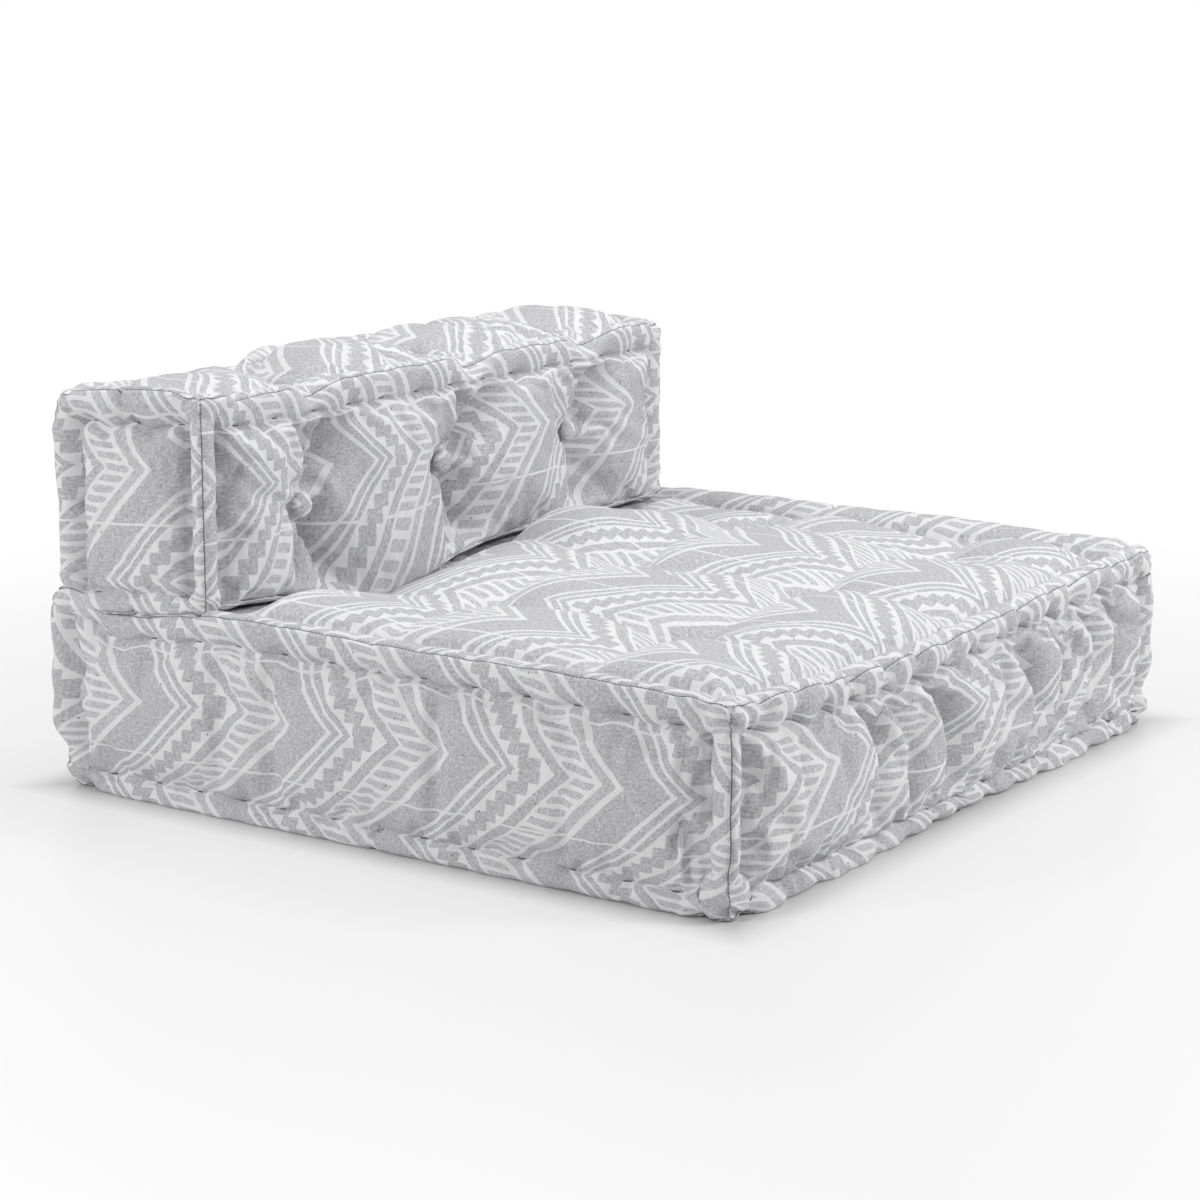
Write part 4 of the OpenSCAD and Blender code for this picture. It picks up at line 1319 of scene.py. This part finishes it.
def seed_flecks(tree, uv):
    """Dark flecks, one in each Voronoi cell whose random colour is high enough."""
    inputs = {"Vector": uv, "Scale": FLECK_SCALE}
    seeds = add(tree, "ShaderNodeTexVoronoi", {"voronoi_dimensions": "2D"}, inputs).outputs
    near = calculate(tree, "LESS_THAN", seeds["Distance"], FLECK_RADIUS)
    rare = calculate(tree, "GREATER_THAN", split(tree, seeds["Color"])[0], FLECK_RARITY)
    return calculate(tree, "MULTIPLY", calculate(tree, "MULTIPLY", near, rare), FLECK_SHARE)


def printed_canvas():
    """Zigzag bands of grey ink on off-white cotton canvas, with dark seed flecks. The single threads are
    too fine to show and are drawn coarser, as a heather of grain and of slubs that run both ways."""
    material, tree, shader = new_material("printed_cotton_canvas")
    uv = add(tree, "ShaderNodeUVMap", {"uv_map": "canvas"}).outputs[0]
    inputs = {"Vector": uv, "Scale": WOBBLE_SCALE, "Detail": 1.0}
    wobble = add(tree, "ShaderNodeTexNoise", {"noise_dimensions": "2D"}, inputs).outputs["Color"]
    ink = print_ink(tree, vector(tree, "MULTIPLY_ADD", wobble, WOBBLE, uv))
    grain = calculate(tree, "MULTIPLY", noise(tree, uv, GRAIN_SIZE, 3.0), 0.5)
    slubs = [noise(tree, vector(tree, "MULTIPLY", uv, way), SLUB_SIZE, 2.0) for way in SLUB_WAYS]
    weave = calculate(tree, "MULTIPLY_ADD", calculate(tree, "ADD", *slubs), 0.25, grain)
    ink_colour = mix(tree, spread(tree, weave, 0.4, 0.6), linear(PALE_GREY), linear(GREY))
    printed = mix(tree, ink, linear(GROUND), ink_colour)
    thread_tone = spread(tree, weave, 0.38, 0.62, 1.04, 0.96)
    cloud_tone = spread(tree, noise(tree, uv, CLOUD_SIZE, 3.0), 0.3, 0.7, 0.97, 1.03)
    inputs = {0: printed, "Scale": calculate(tree, "MULTIPLY", thread_tone, cloud_tone)}
    heather = add(tree, "ShaderNodeVectorMath", {"operation": "SCALE"}, inputs).outputs[0]
    colour = mix(tree, seed_flecks(tree, uv), heather, linear(FLECK_COLOUR))
    dress(tree, shader, colour, 0.9, weave, 0.3, 0.001)
    return material


canvas = printed_canvas()
for cover in (seat_cover, bolster_cover, *button_pieces.values()):
    cover.data.materials.append(canvas)

# %% [markdown]
# Thread and twine show the turns of their strands. The twines and the filling lie inside the covers, and
# are dressed for the views in which a cover is hidden.

# %% Threads, twine and filling
def twisted_strand(name, dark, light, roughness, pitch):
    """A twisted strand: a painted highlight on the crown of each turn, painted shade in the furrows between,
    and matt. The turns are a sine of x + y + z, which slants on a strand that runs along any one of the axes."""
    material, tree, shader = new_material(name)
    place = add(tree, "ShaderNodeTexCoord").outputs["Object"]
    x, y, z = split(tree, place)
    total = calculate(tree, "ADD", calculate(tree, "ADD", x, y), z)
    wave = calculate(tree, "SINE", calculate(tree, "MULTIPLY", total, 2 * math.pi / pitch))
    turns = calculate(tree, "MULTIPLY_ADD", wave, 0.5, 0.5)
    lint = spread(tree, noise(tree, place, pitch / 3, 3.0), 0.3, 0.7, 0.7, 1.0)
    # Painted highlight on the crowns of the turns and painted shade in the furrows between them.
    colour = mix(tree, calculate(tree, "MULTIPLY", turns, lint), linear(dark), linear(light))
    dress(tree, shader, colour, roughness, turns, 0.5, pitch / 4)
    return material


def packed_fibre():
    """Packed cotton fibre: creamy clumps of about 9 mm with painted shade in the hollows between, fuzzy and
    matt.
    """
    material, tree, shader = new_material("packed_cotton_fibre")
    place = add(tree, "ShaderNodeTexCoord").outputs["Object"]
    clumps = noise(tree, place, 0.009, 4.0)
    hairs = noise(tree, place, 0.0012, 2.0)
    height = calculate(tree, "MULTIPLY_ADD", hairs, 0.25, clumps)
    # Painted shade: the colour darkens where the relief is low, in the hollows between the clumps.
    colour = mix(tree, spread(tree, height, 0.45, 0.75), linear("#D9D2BF"), linear("#F5F2E8"))
    dress(tree, shader, colour, 1.0, height, 0.6, 0.003)
    shader.inputs["Sheen Weight"].default_value = 0.3
    return material


thread = twisted_strand("grey_polyester_thread", "#55555A", "#7A7A80", 0.6, 0.0011)
twine = twisted_strand("natural_cotton_twine", "#B5AB92", "#E6DFCB", 0.9, 0.0024)
fibre = packed_fibre()
for piece in threads.values():
    piece.data.materials.append(thread)
for body in ("seat", "bolster"):
    for node, material in ((f"{body}_filling", fibre), (f"{body}_tuft_twines", twine)):
        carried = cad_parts[node].data.materials
        carried.clear()
        carried.append(material)

# %% [markdown]
# Each piece rides on its body, takes the place of the nodes that it dresses, and has a material slot.

# %% Pieces and bodies
SEAT_PANELS = [f"seat_{face}_panel" for face in FACES]
BOLSTER_PANELS = [f"bolster_{face}_panel" for face in FACES]
for cover, body, nodes in ((seat_cover, "seat", SEAT_PANELS), (bolster_cover, "bolster", BOLSTER_PANELS)):
    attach(cover, body)
    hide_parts(*nodes)

for name, piece in threads.items():
    body, row = name.split("_")[:2]
    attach(piece, body)
    if row in ("upper", "lower"):
        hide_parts(f"{body}_{row}_stitches")
for node, piece in button_pieces.items():
    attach(piece, BUTTON_ROWS[node][-1])
    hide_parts(node)

# %% [markdown]
# The studio is white all round. The camera sees a floor that burns out to plain white away from the sofa,
# and a world of plain white behind it. Three soft lamps shape the folds.

# %% Floor, lamps and world
FLOOR_SIZE = 60.0
FLOOR_NEAR, NEAR_SHARE = 0.06, 0.6
FLOOR_FAR, FAR_SHARE = 1.2, 0.4
WORLD_LIGHT = 0.31


def floor_sheet():
    """A plain square of floor under the sofa."""
    half = FLOOR_SIZE / 2
    corners = np.array([(-half, -half, 0), (half, -half, 0), (half, half, 0), (-half, half, 0)], float)
    return mesh_object("floor", corners, np.array([[0, 1, 2, 3]]))


floor = floor_sheet()


def studio_floor():
    """Satin white floor that burns out to plain white away from the sofa, as in front of a lit backdrop:
    seen by the camera, it gives way to white by the distance d to the seat's outline, d = max(|x| - half
    width, |y| - half depth). It keeps the dark line of contact and a little of the sofa's sheen."""
    material, tree, shader = new_material("satin_white_floor")
    shader.inputs["Base Color"].default_value = linear("#D6D6D6")
    shader.inputs["Roughness"].default_value = 0.3
    place = add(tree, "ShaderNodeTexCoord").outputs["Object"]
    beyond = [calculate(tree, "SUBTRACT", calculate(tree, "ABSOLUTE", value), float(half))
              for value, half in zip(split(tree, place), SEAT[1][:2])]
    away = calculate(tree, "MAXIMUM", *beyond)
    near = spread(tree, away, 0.0, FLOOR_NEAR, 0.0, NEAR_SHARE)
    far = calculate(tree, "ADD", near, spread(tree, away, FLOOR_NEAR, FLOOR_FAR, 0.0, FAR_SHARE))
    seen = add(tree, "ShaderNodeLightPath").outputs["Is Camera Ray"]
    white = add(tree, "ShaderNodeEmission", inputs={"Color": (1, 1, 1, 1), "Strength": 1.0}).outputs[0]
    share = calculate(tree, "MULTIPLY", far, seen)
    mixed = add(tree, "ShaderNodeMixShader", inputs={0: share, 1: shader.outputs[0], 2: white}).outputs[0]
    output = next(node for node in tree.nodes if node.type == "OUTPUT_MATERIAL")
    tree.links.new(mixed, output.inputs["Surface"])
    return material


floor.data.materials.append(studio_floor())


def area_lamp(name, place, target, size, power):
    """A soft rectangular lamp that looks at a point."""
    data = bpy.data.lights.new(name, "AREA")
    data.shape = "SQUARE"
    data.size = size
    data.energy = power
    lamp = bpy.data.objects.new(name, data)
    lamp.location = place
    lamp.rotation_euler = (Vector(target) - Vector(place)).to_track_quat("-Z", "Y").to_euler()
    bpy.context.scene.collection.objects.link(lamp)


area_lamp("overhead", (0.0, 0.1, 3.0), (0, 0, 0), 1.4, 31)
area_lamp("front", (1.5, -3.6, 2.6), (0, 0, 0.2), 1.0, 108)
area_lamp("side", (-3.6, 1.3, 1.8), (0, 0, 0.2), 1.0, 61)
world = bpy.data.worlds.new("studio")
bpy.context.scene.world = world
world.use_nodes = True
tree = world.node_tree
tree.nodes.clear()
rays = add(tree, "ShaderNodeLightPath").outputs
lit = add(tree, "ShaderNodeBackground", inputs={"Color": (1, 1, 1, 1), "Strength": WORLD_LIGHT})
seen = add(tree, "ShaderNodeBackground", inputs={"Color": (1, 1, 1, 1), "Strength": 1.0})
either = calculate(tree, "MAXIMUM", rays["Is Camera Ray"], rays["Is Glossy Ray"])
both = add(tree, "ShaderNodeMixShader", inputs={0: either, 1: lit.outputs[0], 2: seen.outputs[0]})
add(tree, "ShaderNodeOutputWorld", inputs={"Surface": both.outputs[0]})
bpy.context.scene.view_settings.view_transform = "Standard"
